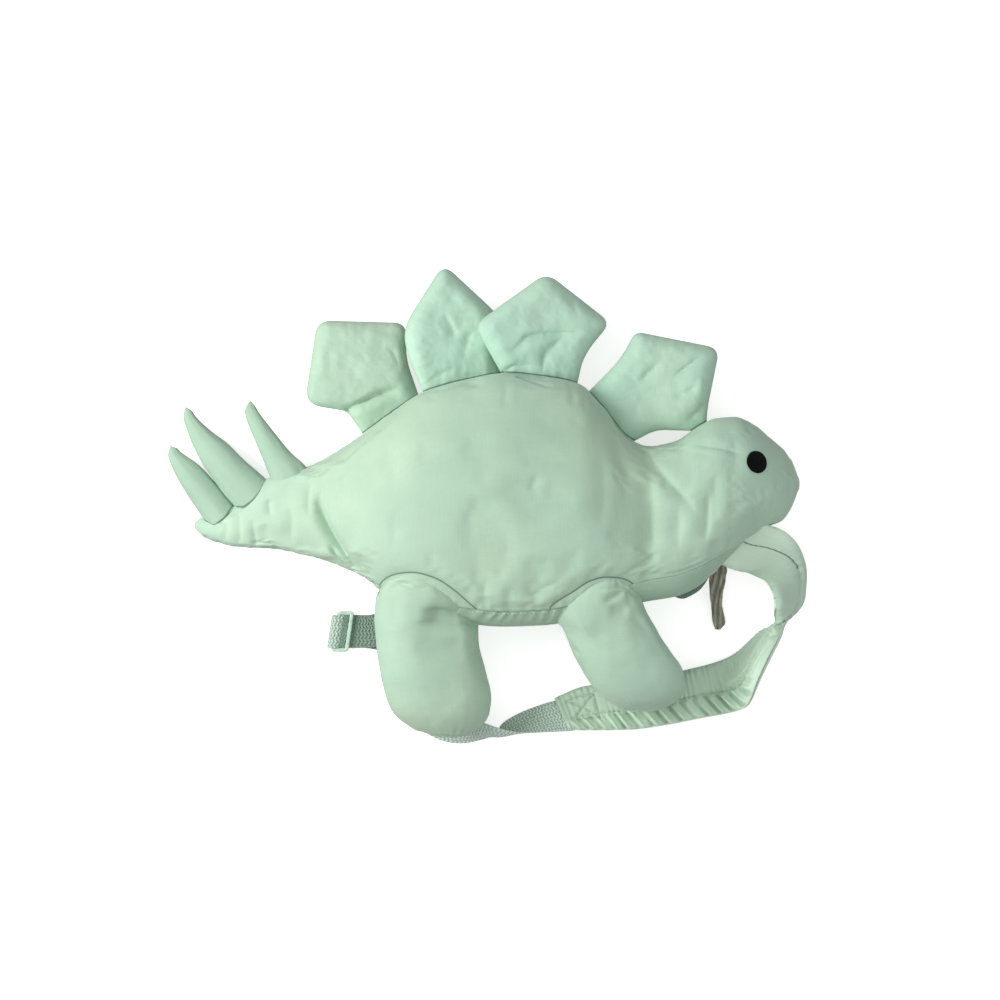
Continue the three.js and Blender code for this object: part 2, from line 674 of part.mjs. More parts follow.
function bellyStrapSlide() {
  const frame = new THREE.Shape();
  const corner = (shape, long, wide, round) => {
    shape.moveTo(-long / 2 + round, -wide / 2);
    shape.lineTo(long / 2 - round, -wide / 2);
    shape.quadraticCurveTo(long / 2, -wide / 2, long / 2, -wide / 2 + round);
    shape.lineTo(long / 2, wide / 2 - round);
    shape.quadraticCurveTo(long / 2, wide / 2, long / 2 - round, wide / 2);
    shape.lineTo(-long / 2 + round, wide / 2);
    shape.quadraticCurveTo(-long / 2, wide / 2, -long / 2, wide / 2 - round);
    shape.lineTo(-long / 2, -wide / 2 + round);
    shape.quadraticCurveTo(-long / 2, -wide / 2, -long / 2 + round, -wide / 2);
    return shape;
  };
  corner(frame, SLIDE.long, SLIDE.wide, 1.6);
  frame.holes.push(corner(new THREE.Path(), SLIDE.long - 2 * SLIDE.bar, SLIDE.wide - 4.6, 0.5));
  const depth = { depth: SLIDE.thick, bevelEnabled: false, curveSegments: 3 };
  const extrude = new THREE.ExtrudeGeometry(frame, depth);
  extrude.translate(SLIDE.x, SLIDE.y, SLIDE.base);
  return extrude;
}

function flatBand(rows, thick, count, profile) {
  const at = smoothTable(rows);
  const samples = steps(count).map((u) => at(u));
  const middles = samples.map((s) => point(s.x, s.y, FLOOR_AIR + thick / 2));
  const up = middles.map(() => point(0, 0, 1));
  return bandSolid(stationsFrom(middles, up, samples.map((s) => s.width), thick), profile);
}

function zipSlider() {
  const { x, long, tall, deep } = ZIP_SLIDER;
  const { top, foot } = zipHeights(x);
  const outward = (at) => skin(at, turnAtHeight(at, (top + foot) / 2), TAPE_SUNK - TEETH_RISE - GAP);
  const seat = outward(x);
  const along = outward(x + 2).sub(outward(x - 2)).setZ(0).normalize();
  const away = along.clone().cross(point(0, 0, 1)).normalize();
  const shrink = table(['out', 'size'], [[0, 0.86], [0.15, 1], [0.7, 1], [1, 0.72]]);
  const rings = shrink.map(({ out, size }) => between(0, TAU * (1 - 1 / 12), 11).map((turn) => {
    const round = (value) => Math.sign(value) * Math.abs(value) ** 0.6;
    return seat.clone()
      .addScaledVector(away, out * deep)
      .addScaledVector(along, 0.5 * long * size * round(Math.cos(turn)))
      .addScaledVector(point(0, 0, 1), 0.5 * tall * size * round(Math.sin(turn)));
  }));
  return ringSolid(rings);
}

function zipPull() {
  const at = smoothTable(PULL);
  const samples = steps(14).map((u) => at(u));
  const middles = samples.map((s) => point(s.x, s.y, s.z));
  const normals = samples.map((s) => (
    point(0, 0, 1).applyAxisAngle(point(0, -1, 0), THREE.MathUtils.degToRad(s.roll))
  ));
  const widths = samples.map((s) => s.width);
  return bandSolid(stationsFrom(middles, normals, widths, PULL_THICK), FLAT_PROFILE);
}

const model = new THREE.Group();
const add = (name, geometry, colour) => {
  const mesh = new THREE.Mesh(geometry, new THREE.MeshStandardMaterial(COLOURS[colour]));
  mesh.name = name;
  model.add(mesh);
};

add('front_panel', frontPanel(), 'cloth');
add('back_panel', backPanel(), 'cloth');
add('belly_gusset', bellyGusset(), 'cloth');
add('zip_tape', zipTape(), 'zip');
add('zip_slider', zipSlider(), 'metal');
add('zip_pull', zipPull(), 'ribbon');
add('leg_rear', leg(LEG_REAR), 'cloth');
add('leg_front', leg(LEG_FRONT), 'cloth');
PLATES.forEach((row, i) => add(`plate_${i + 1}`, plate(PLATE_CORNERS[i], row), 'cloth'));
SPIKES.forEach((row, i) => add(`tail_spike_${i + 1}`, spike(row), 'cloth'));
add('eye', eye(), 'eye');
add('belly_strap_pad', bellyStrapPad(), 'cloth');
add('belly_strap_webbing', bellyStrapWebbing(), 'web');
add('belly_strap_slide', bellyStrapSlide(), 'plastic');
add('spine_strap_pad', flatBand(HIDDEN_PAD, PAD_THICK, 22, PAD_PROFILE), 'cloth');
add('spine_strap_webbing', flatBand(HIDDEN_WEB, WEB_THICK, 8, FLAT_PROFILE), 'web');

export default model;
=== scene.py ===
"""Plush stegosaurus child's backpack in mint cotton, lying on its back panel.

Every shape is worked out in millimetres as a net of points, rows along a piece and columns across
or around it, and goes into its mesh in metres. +X points to the head, +Y to the back plates and
+Z up from the floor, which is z = 0.
"""
import functools
import logging
import math
from dataclasses import dataclass, field, replace
from enum import Enum

import bpy
import numpy as np
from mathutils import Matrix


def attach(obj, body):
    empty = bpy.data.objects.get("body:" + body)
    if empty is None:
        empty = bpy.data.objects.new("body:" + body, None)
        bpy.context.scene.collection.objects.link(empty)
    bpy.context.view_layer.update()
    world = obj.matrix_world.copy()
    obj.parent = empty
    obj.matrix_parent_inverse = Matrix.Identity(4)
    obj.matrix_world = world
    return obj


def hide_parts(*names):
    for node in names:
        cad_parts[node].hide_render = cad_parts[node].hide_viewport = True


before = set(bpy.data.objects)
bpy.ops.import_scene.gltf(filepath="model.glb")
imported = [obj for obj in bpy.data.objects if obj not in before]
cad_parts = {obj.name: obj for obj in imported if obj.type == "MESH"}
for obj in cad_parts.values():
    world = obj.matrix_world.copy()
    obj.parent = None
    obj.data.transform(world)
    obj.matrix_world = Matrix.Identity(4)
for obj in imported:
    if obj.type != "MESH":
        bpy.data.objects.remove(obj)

Array = np.ndarray
Piece = bpy.types.Object
Material = bpy.types.Material
Socket = bpy.types.NodeSocket
Run = tuple[tuple[float, ...], ...]
Pair = tuple[float, float]
Triple = tuple[float, float, float]
Colour = tuple[float, float, float, float]

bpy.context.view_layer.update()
LOG = logging.getLogger("backpack")
MM = 0.001
FAR = 99.0
ARC_POINTS = 24
FOLD_POINTS = 14
UP = np.array((0.0, 0.0, 1.0))
ROOT = "root"


class Slot(Enum):
    """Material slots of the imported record."""

    CLOTH = "cloth"
    ZIP_TAPE = "zip_tape"
    SLIDER = "slider_metal"
    RIBBON = "ribbon"
    EYE = "eye_thread"
    WEBBING = "webbing"
    SLIDE = "slide_plastic"


class Ends(Enum):
    """How a net of rings is closed at its first and last ring."""

    STRIP = "strip"
    POINT = "point"
    LOOP = "loop"


# Curves, noise and nets


def smooth_values(at: Array, values: Array, x: Array) -> Array:
    """Cubic curves through table rows, with harmonic-mean slopes so that none overshoots.

    Args:
        at: Rising places of the rows.
        values: One row of values for each place.
        x: Where the curves are wanted, of any shape.

    Returns:
        The values at x, in one more dimension than x.
    """
    span = np.diff(at)
    slope = np.diff(values, axis=0) / span[:, None]
    before, after = slope[:-1], slope[1:]
    same = before * after > 0
    inner = np.where(same, 2 * before * after / np.where(same, before + after, 1), 0)
    tangent = np.concatenate([slope[:1], inner, slope[-1:]])
    x = np.clip(x, at[0], at[-1])
    i = np.clip(np.searchsorted(at, x) - 1, 0, len(at) - 2)
    s = span[i][..., None]
    t = (x[..., None] - at[i][..., None]) / s
    low = (1 + 2 * t) * (1 - t) ** 2 * values[i] + t * (1 - t) ** 2 * s * tangent[i]
    return low + t * t * (3 - 2 * t) * values[i + 1] - t * t * (1 - t) * s * tangent[i + 1]


@dataclass(frozen=True)
class Table:
    """Rows of sizes with named columns; the first column is the key unless keyed is False."""

    columns: tuple[str, ...]
    rows: Run
    keyed: bool = True
    blur: float = 0.0

    def at(self, x: Array) -> dict[str, Array]:
        """The columns as smooth curves, softened by averaging over a short stretch of the key.

        Args:
            x: Places along the key, or shares along the rows where there is no key.

        Returns:
            One array for each column, in the shape of x.
        """
        values = np.array(self.rows, float)
        keys = values[:, 0] if self.keyed else np.linspace(0, 1, len(values))
        order = np.argsort(keys)
        x = np.asarray(x, float)
        shifts = np.linspace(-1, 1, 5) * self.blur if self.blur else np.zeros(1)
        found = sum(smooth_values(keys[order], values[order], x + d) for d in shifts) / len(shifts)
        return {name: found[..., k] for k, name in enumerate(self.columns)}


def ease(t: Array) -> Array:
    """A smooth step from 0 to 1."""
    t = np.clip(t, 0, 1)
    return t * t * (3 - 2 * t)


def mix(a: Array, b: Array, share: Array) -> Array:
    """A weighted mean of two values."""
    return a + (b - a) * share


def between(x: Array, low: float, high: float, soft: float) -> Array:
    """1 between two places, falling smoothly to 0 at each of them."""
    return ease((x - low) / soft) * ease((high - x) / soft)


def deepest(*values: Array) -> Array:
    """The largest of several values at each point."""
    return functools.reduce(np.maximum, values)


def rounded(depth: Array, soft: float, power: float) -> Array:
    """Profile of a rounded edge: 0 at the edge, rising to 1 at a depth of soft."""
    return (1 - (1 - np.clip(depth / soft, 0, 1)) ** 2) ** power


def circle(count: int) -> Array:
    """Even turns round a full circle, from 0."""
    return np.linspace(0, 2 * np.pi, count, endpoint=False)


def squared(turn: Array, power: float) -> tuple[Array, Array]:
    """Cosine and sine to a power below 1, each with its own sign, which draw a circle out towards a square."""
    c, s = np.cos(turn), np.sin(turn)
    return np.sign(c) * np.abs(c) ** power, np.sign(s) * np.abs(s) ** power


def noise(x: Array, y: Array, seed: int) -> Array:
    """Smooth noise from -1 to 1: hashed values on a unit lattice, eased between its corners.

    Args:
        x: First coordinate, in lattice units.
        y: Second coordinate, in lattice units.
        seed: Picks the pattern.

    Returns:
        The noise at each point.
    """
    x, y = np.broadcast_arrays(np.asarray(x, float), np.asarray(y, float))
    ix, iy = np.floor(x).astype(np.int64), np.floor(y).astype(np.int64)
    ux, uy = ease(x - ix), ease(y - iy)

    def corner(a: Array, b: Array) -> Array:
        """The hashed value of a lattice corner."""
        h = (a * 374761393 + b * 668265263 + seed * 974634777) & 0xFFFFFFFF
        h = ((h ^ (h >> 13)) * 1274126177) & 0xFFFFFFFF
        return ((h ^ (h >> 16)) & 0xFFFF) / 32767.5 - 1

    low = mix(corner(ix, iy), corner(ix + 1, iy), ux)
    return mix(low, mix(corner(ix, iy + 1), corner(ix + 1, iy + 1), ux), uy)


def crumple(x: Array, y: Array, pitch: float, seed: int) -> Array:
    """Three octaves of noise, each half as high and about twice as fine as the one before."""
    return sum(noise(x * f / pitch, y * f / pitch, seed + k) / 2**k for k, f in enumerate((1, 2.1, 4.3)))


def crowded(low: float, high: float, count: int, share: float) -> Array:
    """Places from low to high, crowded towards both ends by a share of a half cosine wave."""
    u = np.linspace(0, 1, count)
    return mix(low, high, mix(u, (1 - np.cos(np.pi * u)) / 2, share))


def smooth_run(points: Run, count: int) -> Array:
    """Evenly shared points on a smooth curve through a short row of points.

    Args:
        points: The points, of two or three coordinates.
        count: How many points are wanted.

    Returns:
        An array of count points.
    """
    knots = np.array(points, float)
    chord = arc_length(knots, 0)
    return smooth_values(chord / chord[-1], knots, np.linspace(0, 1, count))


def to_run(x: Array, y: Array, run: Array) -> tuple[Array, Array]:
    """Nearest distance in plan from points to a run of straight pieces.

    Args:
        x: First coordinates.
        y: Second coordinates.
        run: Points of the run.

    Returns:
        The distance, positive to the left of the run, and the share along it.
    """
    best = np.full(np.shape(x), 1e9)
    side, share = np.ones(np.shape(x)), np.zeros(np.shape(x))
    last = len(run) - 1
    for k in range(last):
        (ax, ay), (bx, by) = run[k][:2], run[k + 1][:2]
        dx, dy = bx - ax, by - ay
        along = np.clip(((x - ax) * dx + (y - ay) * dy) / (dx * dx + dy * dy), 0, 1)
        away = np.hypot(x - ax - along * dx, y - ay - along * dy)
        closer = away < best
        best = np.where(closer, away, best)
        side = np.where(closer, np.where(dx * (y - ay) - dy * (x - ax) >= 0, 1.0, -1.0), side)
        share = np.where(closer, (k + along) / last, share)
    return best * side, share


def to_arc(net: Array, arc: Run) -> Array:
    """Distance in plan from points to a smooth arc, positive to its left."""
    return to_run(net[..., 0], net[..., 1], smooth_run(arc, ARC_POINTS))[0]


@dataclass(frozen=True)
class Fold:
    """A fold in the cloth: a rounded valley along a run in plan, longer on one side, with a ridge there.

    Height = taper x (ridge bell - depth x exp(-rounded distance / reach)), where the reach is
    multiplied by skew on the longer side: 1 is the left of the run and -1 its right.
    """

    run: Run
    depth: float
    reach: float
    lip: float = 0.0
    side: int = 1
    skew: float = 1.0
    open_start: bool = False
    open_end: bool = False

    def height(self, x: Array, y: Array) -> Array:
        """How far the fold lifts the cloth.

        Args:
            x: First coordinates of points in plan.
            y: Second coordinates.

        Returns:
            The height, below 0 in the valley.
        """
        away, share = to_run(x, y, smooth_run(self.run, FOLD_POINTS))
        start = 1.0 if self.open_start else ease(share / 0.35)
        end = 1.0 if self.open_end else ease((1 - share) / 0.35)
        a = away * self.side / self.reach
        a = np.where(a > 0, a / self.skew, a)
        valley = self.depth * np.exp(0.3 - np.sqrt(a * a + 0.09))
        ridge = self.lip * np.exp(-(((a - 2.2) / 1.2) ** 2))
        return start * end * (ridge - valley)


def folded(folds: tuple[Fold, ...], x: Array, y: Array) -> Array:
    """The sum of the heights of several folds."""
    return sum((f.height(x, y) for f in folds), np.zeros(np.shape(x)))


def gathers(along: Array, away: Array, pitch: float, depth: float, reach: float, seed: int) -> Array:
    """Puckers along a seam: waves of uneven pitch and strength that die out away from it.

    Args:
        along: Length along the seam.
        away: Distance from the seam.
        pitch: Mean length of one pucker.
        depth: Height of the strongest pucker.
        reach: Distance at which a pucker has lost two thirds of its height.
        seed: Picks the pattern.

    Returns:
        The height of the puckers, from -depth to depth.
    """
    phase = along / pitch + 0.9 * noise(along / (3 * pitch), 0.3, seed)
    strength = 0.55 + 0.45 * noise(along / (2.3 * pitch), 7.7, seed + 1)
    length = reach * (1 + 0.5 * noise(along / pitch, 3.1, seed + 2))
    return depth * strength * np.cos(2 * np.pi * phase) * np.exp(-np.abs(away) / length)


def unit(v: Array) -> Array:
    """Vectors brought to length 1."""
    return v / np.maximum(np.linalg.norm(v, axis=-1, keepdims=True), 1e-12)


def normals(points: Array, around: bool) -> Array:
    """Unit normals of a net, whose last column may join its first: the cross product of its two directions."""
    across = np.roll(points, -1, 1) - np.roll(points, 1, 1) if around else np.gradient(points, axis=1)
    return unit(np.cross(np.gradient(points, axis=0), across))


def faced(net: Array, towards: Array) -> Array:
    """Unit normals of an open net, on the side that a direction points to."""
    out = normals(net, False)
    return out * np.sign((out @ towards).mean())


def arc_length(points: Array, axis: int) -> Array:
    """Running length of a net along one of its directions, 0 at the start."""
    step = np.linalg.norm(np.diff(points, axis=axis), axis=-1)
    first = np.zeros_like(np.take(step, [0], axis=axis))
    return np.concatenate([first, np.cumsum(step, axis=axis)], axis=axis)


def spread(at: Array, length: Array, values: Array) -> Array:
    """Rows of values at given lengths, between the rows of a run."""
    return np.stack([np.interp(at, length, column) for column in values.T], -1)


def grid(rows: int, cols: int, loop: bool = False, around: bool = True) -> Array:
    """The quads of a net, each as four point numbers.

    Args:
        rows: Points along the net.
        cols: Points across or around it.
        loop: Whether the last row joins the first.
        around: Whether the last column joins the first.

    Returns:
        One row for each quad.
    """
    i, j = np.arange(rows - (not loop))[:, None], np.arange(cols - (not around))[None]
    i2, j2 = (i + 1) % rows, (j + 1) % cols
    return np.stack([i * cols + j, i * cols + j2, i2 * cols + j2, i2 * cols + j], -1).reshape(-1, 4)


def closed(net: Array) -> Array:
    """A net with its first column repeated after its last."""
    return np.concatenate([net, net[:, :1]], axis=1)


def finer(values: Array, axis: int) -> Array:
    """Doubles a net along one direction: each new value is a cubic mean of its four neighbours.

    Args:
        values: The net.
        axis: 0 for along its rows, 1 for across them.

    Returns:
        The net with a new row or column in each gap.
    """
    v = np.moveaxis(values, axis, 0)
    pad = np.concatenate([2 * v[:1] - v[1:2], v, 2 * v[-1:] - v[-2:-1]])
    middle = (9 * (pad[1:-2] + pad[2:-1]) - pad[:-3] - pad[3:]) / 16
    out = np.empty((2 * len(v) - 1, *v.shape[1:]))
    out[0::2], out[1::2] = v, middle
    return np.moveaxis(out, 0, axis)


def weave_uv(points: Array, loop: bool = False) -> Array:
    """Cloth coordinates of a net of rings, in metres, so that a weave keeps its size.

    U is the mean length along the rows and V the length across each row from its middle column;
    the closing column, and the closing row of a loop, have values of their own.

    Args:
        points: The net.
        loop: Whether the last row joins the first.

    Returns:
        U and V for each point.
    """
    net = closed(points)
    if loop:
        net = np.concatenate([net, net[:1]])
    v = arc_length(net, 1)
    v = v - v[:, net.shape[1] // 4, None]
    u = np.broadcast_to(arc_length(net, 0).mean(axis=1, keepdims=True), v.shape)
    return np.stack([u, v], -1) * MM


def new_piece(name: str, points: Array, faces: list[list[int]]) -> Piece:
    """Makes a mesh object at the origin.

    Args:
        name: The piece's name.
        points: Its points, in millimetres.
        faces: Point numbers of each face.

    Returns:
        The object, linked to the scene.
    """
    mesh = bpy.data.meshes.new(name)
    mesh.from_pydata(points * MM, [], faces)
    piece = bpy.data.objects.new(name, mesh)
    bpy.context.scene.collection.objects.link(piece)
    return piece


def lay_cloth(piece: Piece, uv: Array) -> None:
    """Gives a piece cloth coordinates, one pair for each corner of a face, and a smooth surface."""
    mesh = piece.data
    mesh.uv_layers.new(name="cloth").data.foreach_set("uv", uv.ravel().astype(np.float32))
    mesh.polygons.foreach_set("use_smooth", np.ones(len(mesh.polygons), bool))
    mesh.update()


@dataclass
class Net:
    """A net of rings that becomes one closed mesh.

    Attributes:
        points: Rows of rings, in millimetres; the last column joins the first.
        ends: How the first and last ring are closed.
        uv: Cloth coordinates with one more column, or None for lengths along and around.
        marks: Values carried by the points, for the materials.
        inner: How many of a strip's columns are its inner side, or 0 for half of them.
    """

    points: Array
    ends: Ends = Ends.POINT
    uv: Array | None = None
    marks: dict[str, Array] = field(default_factory=dict)
    inner: int = 0

    def corners(self) -> tuple[list[Array], list[Array]]:
        """The faces as point numbers, and the same faces as numbers of cloth coordinates."""
        rows, cols = self.points.shape[:2]
        loop = self.ends is Ends.LOOP
        faces, cloth = [grid(rows, cols, loop)], [grid(rows + loop, cols + 1, around=False)]
        b, bw = (rows - 1) * cols, (rows - 1) * (cols + 1)
        if self.ends is Ends.STRIP:
            inner = self.inner or cols // 2
            steps = (cols - inner - 1) // (inner - 1)
            k = np.arange(inner - 1)[:, None]
            cap = np.concatenate([k * steps + np.arange(steps + 1)[None], cols - 2 - k, cols - 1 - k], 1)
            faces += [cap[:, ::-1], cap + b]
            cloth += [cap[:, ::-1], cap + bw]
        if self.ends is Ends.POINT:
            k = np.arange(cols)
            top, foot = rows * cols, rows * cols + 1
            faces.append(np.stack([(k + 1) % cols, k, np.full(cols, top)], -1))
            faces.append(np.stack([b + k, b + (k + 1) % cols, np.full(cols, foot)], -1))
            cloth.append(np.stack([k + 1, k, k], -1))
            cloth.append(np.stack([bw + k, bw + k + 1, bw + k], -1))
        return faces, cloth

    def build(self, name: str) -> Piece:
        """Puts the net into a mesh object at the origin, with its faces turned outwards.

        Args:
            name: The piece's name.

        Returns:
            The new object.
        """
        points = self.points.reshape(-1, 3)
        if self.ends is Ends.POINT:
            points = np.concatenate([points, self.points[0].mean(0)[None], self.points[-1].mean(0)[None]])
        faces, cloth = self.corners()
        a, b, c, d = (points[faces[0][:, k]] for k in range(4))
        volume = np.einsum("ij,ij->", a, np.cross(b, c)) + np.einsum("ij,ij->", a, np.cross(c, d))
        if volume < 0:
            faces, cloth = [f[:, ::-1] for f in faces], [f[:, ::-1] for f in cloth]
        piece = new_piece(name, points, [f for part in faces for f in part.tolist()])
        uv = (weave_uv(self.points, self.ends is Ends.LOOP) if self.uv is None else self.uv).reshape(-1, 2)
        lay_cloth(piece, np.concatenate([uv[f].ravel() for f in cloth]))
        # The first mark is painted shade, from 0 to 1; the second is the distance to a dark seam line.
        for mark, plain in (("painted_shade", 0.0), ("seam", FAR)):
            shown = np.full(self.points.shape[:2], plain)
            if mark in self.marks:
                shown[:, : self.marks[mark].shape[-1]] = self.marks[mark]
            flat = np.full(len(points), plain, np.float32)
            flat[: shown.size] = shown.ravel()
            piece.data.attributes.new(mark, "FLOAT", "POINT").data.foreach_set("value", flat)
        return piece


def outward(net: Array, out: Array) -> float:
    """Positive where the normals of a net of rings look away from the middle of its rings."""
    return float((out * (net - net.mean(axis=1, keepdims=True))).sum(-1).mean())


def wall(outer: Array, inner: Array) -> Array:
    """Rings that run along an outer net and back along an inner one."""
    return np.concatenate([outer, inner[:, ::-1]], axis=1)


@dataclass(frozen=True)
class Settle:
    """How a stuffed cloth settles: sewn down at its pins and pushed out by its filling.

    Attributes:
        push: Pressure of the filling.
        spare: Share by which the cloth is cut larger than its seams allow.
        cap: Farthest that a point may move, in millimetres.
        frames: Steps of the simulation.
        stiff: Resistance of the cloth to bending.
        halvings: How often the net is halved before it is simulated.
    """

    push: float
    spare: float
    cap: float
    frames: int = 16
    stiff: float = 0.6
    halvings: int = 2

    def run(self, points: Array, pinned: Array, around: bool) -> Array:
        """Simulates the cloth on a coarser net and spreads the movement back.

        Args:
            points: The net, whose spaces along rows and columns can be halved.
            pinned: How firmly each point is held, from 0 to 1.
            around: Whether the last column joins the first.

        Returns:
            The settled net.
        """
        step = 2**self.halvings
        coarse = points[::step, ::step]
        moved = self.simulate(coarse, pinned[::step, ::step], around) - coarse
        reach = np.linalg.norm(moved, axis=-1, keepdims=True)
        moved *= np.minimum(1, self.cap / np.maximum(reach, 1e-9))
        moved = closed(moved) if around else moved
        for _ in range(self.halvings):
            moved = finer(finer(moved, 0), 1)
        return points + moved[:, : points.shape[1]]

    def simulate(self, net: Array, hold: Array, around: bool) -> Array:
        """Runs the cloth simulation on one net, whose faces are turned outwards for the pressure.

        Args:
            net: The coarse net.
            hold: How firmly each point is held, from 0 to 1.
            around: Whether the last column joins the first.

        Returns:
            Where the points come to rest.
        """
        rows, cols = net.shape[:2]
        quads = grid(rows, cols, around=around)
        out = normals(net, around)
        if (outward(net, out) if around else out[..., 2].mean()) < 0:
            quads = quads[:, ::-1]
        sheet = new_piece("settling", net.reshape(-1, 3), quads.tolist())
        scene, mesh = bpy.context.scene, sheet.data
        pins = sheet.vertex_groups.new(name="sewn")
        levels = np.round(hold.ravel() * 8) / 8
        for level in np.unique(levels[levels > 0]):
            pins.add(np.flatnonzero(levels == level).tolist(), float(level), "REPLACE")
        cloth = sheet.modifiers.new("cloth", "CLOTH")
        given = cloth.settings
        given.quality = 5
        given.mass = 0.15
        given.tension_stiffness = given.compression_stiffness = 18
        given.shear_stiffness = 8
        given.bending_stiffness = self.stiff
        given.air_damping = 4
        given.use_pressure = True
        given.uniform_pressure_force = self.push
        given.shrink_min = -self.spare
        given.effector_weights.gravity = 0
        given.vertex_group_mass = "sewn"
        cloth.point_cache.frame_start, cloth.point_cache.frame_end = 1, self.frames
        for step in range(1, self.frames + 1):
            scene.frame_set(step)
        shown = sheet.evaluated_get(bpy.context.evaluated_depsgraph_get())
        flat = np.empty(rows * cols * 3, np.float32)
        shown.data.vertices.foreach_get("co", flat)
        scene.frame_set(1)
        bpy.data.objects.remove(sheet)
        bpy.data.meshes.remove(mesh)
        return flat.reshape(rows, cols, 3).astype(float) / MM


# Finishes


class Shader:
    """A new material's node tree, with short ways to add and join nodes."""

    def __init__(self, name: str) -> None:
        """Starts a material with a Principled shader."""
        self.material = bpy.data.materials.new(name)
        self.material.use_nodes = True
        self.tree = self.material.node_tree
        self.surface = self.tree.nodes["Principled BSDF"]

    def add(self, kind: str, **values: object) -> bpy.types.Node:
        """Adds a node with its properties, then feeds its sockets.

        Args:
            kind: The node's type.
            values: Properties in small letters, and sockets as feed takes them.

        Returns:
            The new node.
        """
        node = self.tree.nodes.new(kind)
        inputs = {key: value for key, value in values.items() if key[0].isupper() or key.startswith("in_")}
        for key in values:
            if key not in inputs:
                setattr(node, key, values[key])
        self.feed(node, **inputs)
        return node

    def feed(self, node: bpy.types.Node, **values: object) -> None:
        """Links outputs to a node's sockets, or sets the sockets to plain values; None leaves one alone.

        Args:
            node: The node.
            values: One for each socket: in_N by number, or its name with _ for each space.
        """
        for key, value in values.items():
            socket = node.inputs[int(key[3:]) if key.startswith("in_") else key.replace("_", " ")]
            if isinstance(value, Socket):
                self.tree.links.new(value, socket)
            elif value is not None:
                socket.default_value = value

    def math(self, how: str, a: object, b: object = 0.0) -> Socket:
        """A Math node's result."""
        return self.add("ShaderNodeMath", operation=how, in_0=a, in_1=b).outputs[0]

    def mark(self, name: str) -> Socket:
        """A value that the piece's points carry."""
        return self.add("ShaderNodeAttribute", attribute_name=name).outputs["Fac"]

    def blend(self, share: object, a: object, b: object, how: str = "MIX") -> Socket:
        """A colour mixed from two by a share."""
        return self.add("ShaderNodeMix", data_type="RGBA", blend_type=how, in_0=share, in_6=a, in_7=b).outputs[2]

    def stain(self, tint: object, share: object, dark: Colour, light: Colour) -> Socket:
        """A tint multiplied by a shade between a dark and a light one."""
        return self.blend(1.0, tint, self.blend(share, dark, light), "MULTIPLY")

    def place(self, scale: Triple, turn: float = 0.0, on: str = "UV") -> Socket:
        """Scaled coordinates on the cloth, or on another output of the coordinates."""
        where = self.add("ShaderNodeTexCoord").outputs[on]
        return self.add("ShaderNodeMapping", Vector=where, Scale=scale, Rotation=(0.0, 0.0, turn)).outputs[0]

    def whole(self, turn: float = 0.0) -> Socket:
        """The object's own coordinates, in metres, turned about z."""
        return self.place((1, 1, 1), turn, "Object")

    def grain(self, where: Socket, scale: float, detail: float = 2.0) -> Socket:
        """A noise texture's value, around 0.5."""
        return self.add("ShaderNodeTexNoise", Vector=where, Scale=scale, Detail=detail).outputs[0]

    def band(self, value: object, low: float, high: float) -> Socket:
        """A value stretched so that low becomes 0 and high becomes 1."""
        return self.add("ShaderNodeMapRange", in_0=value, in_1=low, in_2=high).outputs[0]

    def uneven(self, value: object, base: float) -> Socket:
        """A roughness that rises from a base by a fifth of a value."""
        return self.math("ADD", self.math("MULTIPLY", value, 0.2), base)

    def bump(self, height: object, strength: float, deep: float, under: object = None) -> Socket:
        """A normal bent by a height, over another bump if one is given."""
        return self.add("ShaderNodeBump", Strength=strength, Distance=deep, Height=height, Normal=under).outputs[0]

    def finish(self, colour: object, rough: object, normal: object = None) -> Material:
        """Joins colour, roughness and normal to the shader and returns the material."""
        self.steady(Base_Color=colour, Roughness=rough, Normal=normal)
        return self.material

    def steady(self, **values: object) -> None:
        """Feeds the shader's own sockets."""
        self.feed(self.surface, **values)


@dataclass(frozen=True)
class Cotton:
    """Washed plain-weave cotton: threads both ways with slubs, soft mottling, dark seam lines and painted shade in its
    seams and folds.
    """

    name: str
    colour: Colour
    cool: Colour
    # deep is the colour of the painted shade; line is that of the dark seam lines.
    deep: Colour
    line: Colour
    pitch: float = 0.0009
    relief: float = 0.3

    def material(self) -> Material:
        """Makes the finish.

        Colour is a mix of a warm and a cool mint by broad noise, streaked along the threads and
        darkened by the painted shade that its points carry; the bump is threads, slubs and soft crumples.
        """
        s = Shader(self.name)
        broad = s.grain(s.whole(), 11.0, 4.0)
        tint = s.blend(s.band(broad, 0.32, 0.68), self.colour, self.cool)
        faded = s.grain(s.whole(0.7), 26.0, 4.0)
        tint = s.stain(tint, s.band(faded, 0.3, 0.7), (0.94, 0.945, 0.95, 1), (1.04, 1.03, 1.035, 1))
        warp = s.grain(s.place((900, 60, 1)), 1.0, 3.0)
        weft = s.grain(s.place((60, 900, 1)), 1.0, 3.0)
        threads = s.math("MULTIPLY", s.math("ADD", warp, weft), 0.5)
        tint = s.stain(tint, s.band(threads, 0.3, 0.7), (0.955, 0.965, 0.96, 1), (1.035, 1.03, 1.035, 1))
        # Painted shade: mixes towards the deep colour by the value that the points carry.
        tint = s.blend(s.mark("painted_shade"), tint, self.deep)
        tint = s.blend(s.band(s.math("ABSOLUTE", s.mark("seam")), 0.8, 0.2), tint, self.line)
        across = s.add("ShaderNodeSeparateXYZ", in_0=s.place((1 / self.pitch,) * 3))
        wave = [s.math("SINE", s.math("MULTIPLY", across.outputs[k], 2 * math.pi)) for k in (0, 1)]
        woven = s.math("MULTIPLY", wave[0], wave[1])
        normal = s.bump(s.grain(s.whole(), 160.0, 3.0), 0.12, 0.0012)
        normal = s.bump(threads, self.relief, 0.0006, normal)
        normal = s.bump(woven, 0.10, 0.0002, normal)
        s.steady(Sheen_Weight=0.18, Sheen_Roughness=0.45, Specular_IOR_Level=0.25)
        return s.finish(tint, s.uneven(s.band(threads, -0.6, 1.4), 0.76), normal)


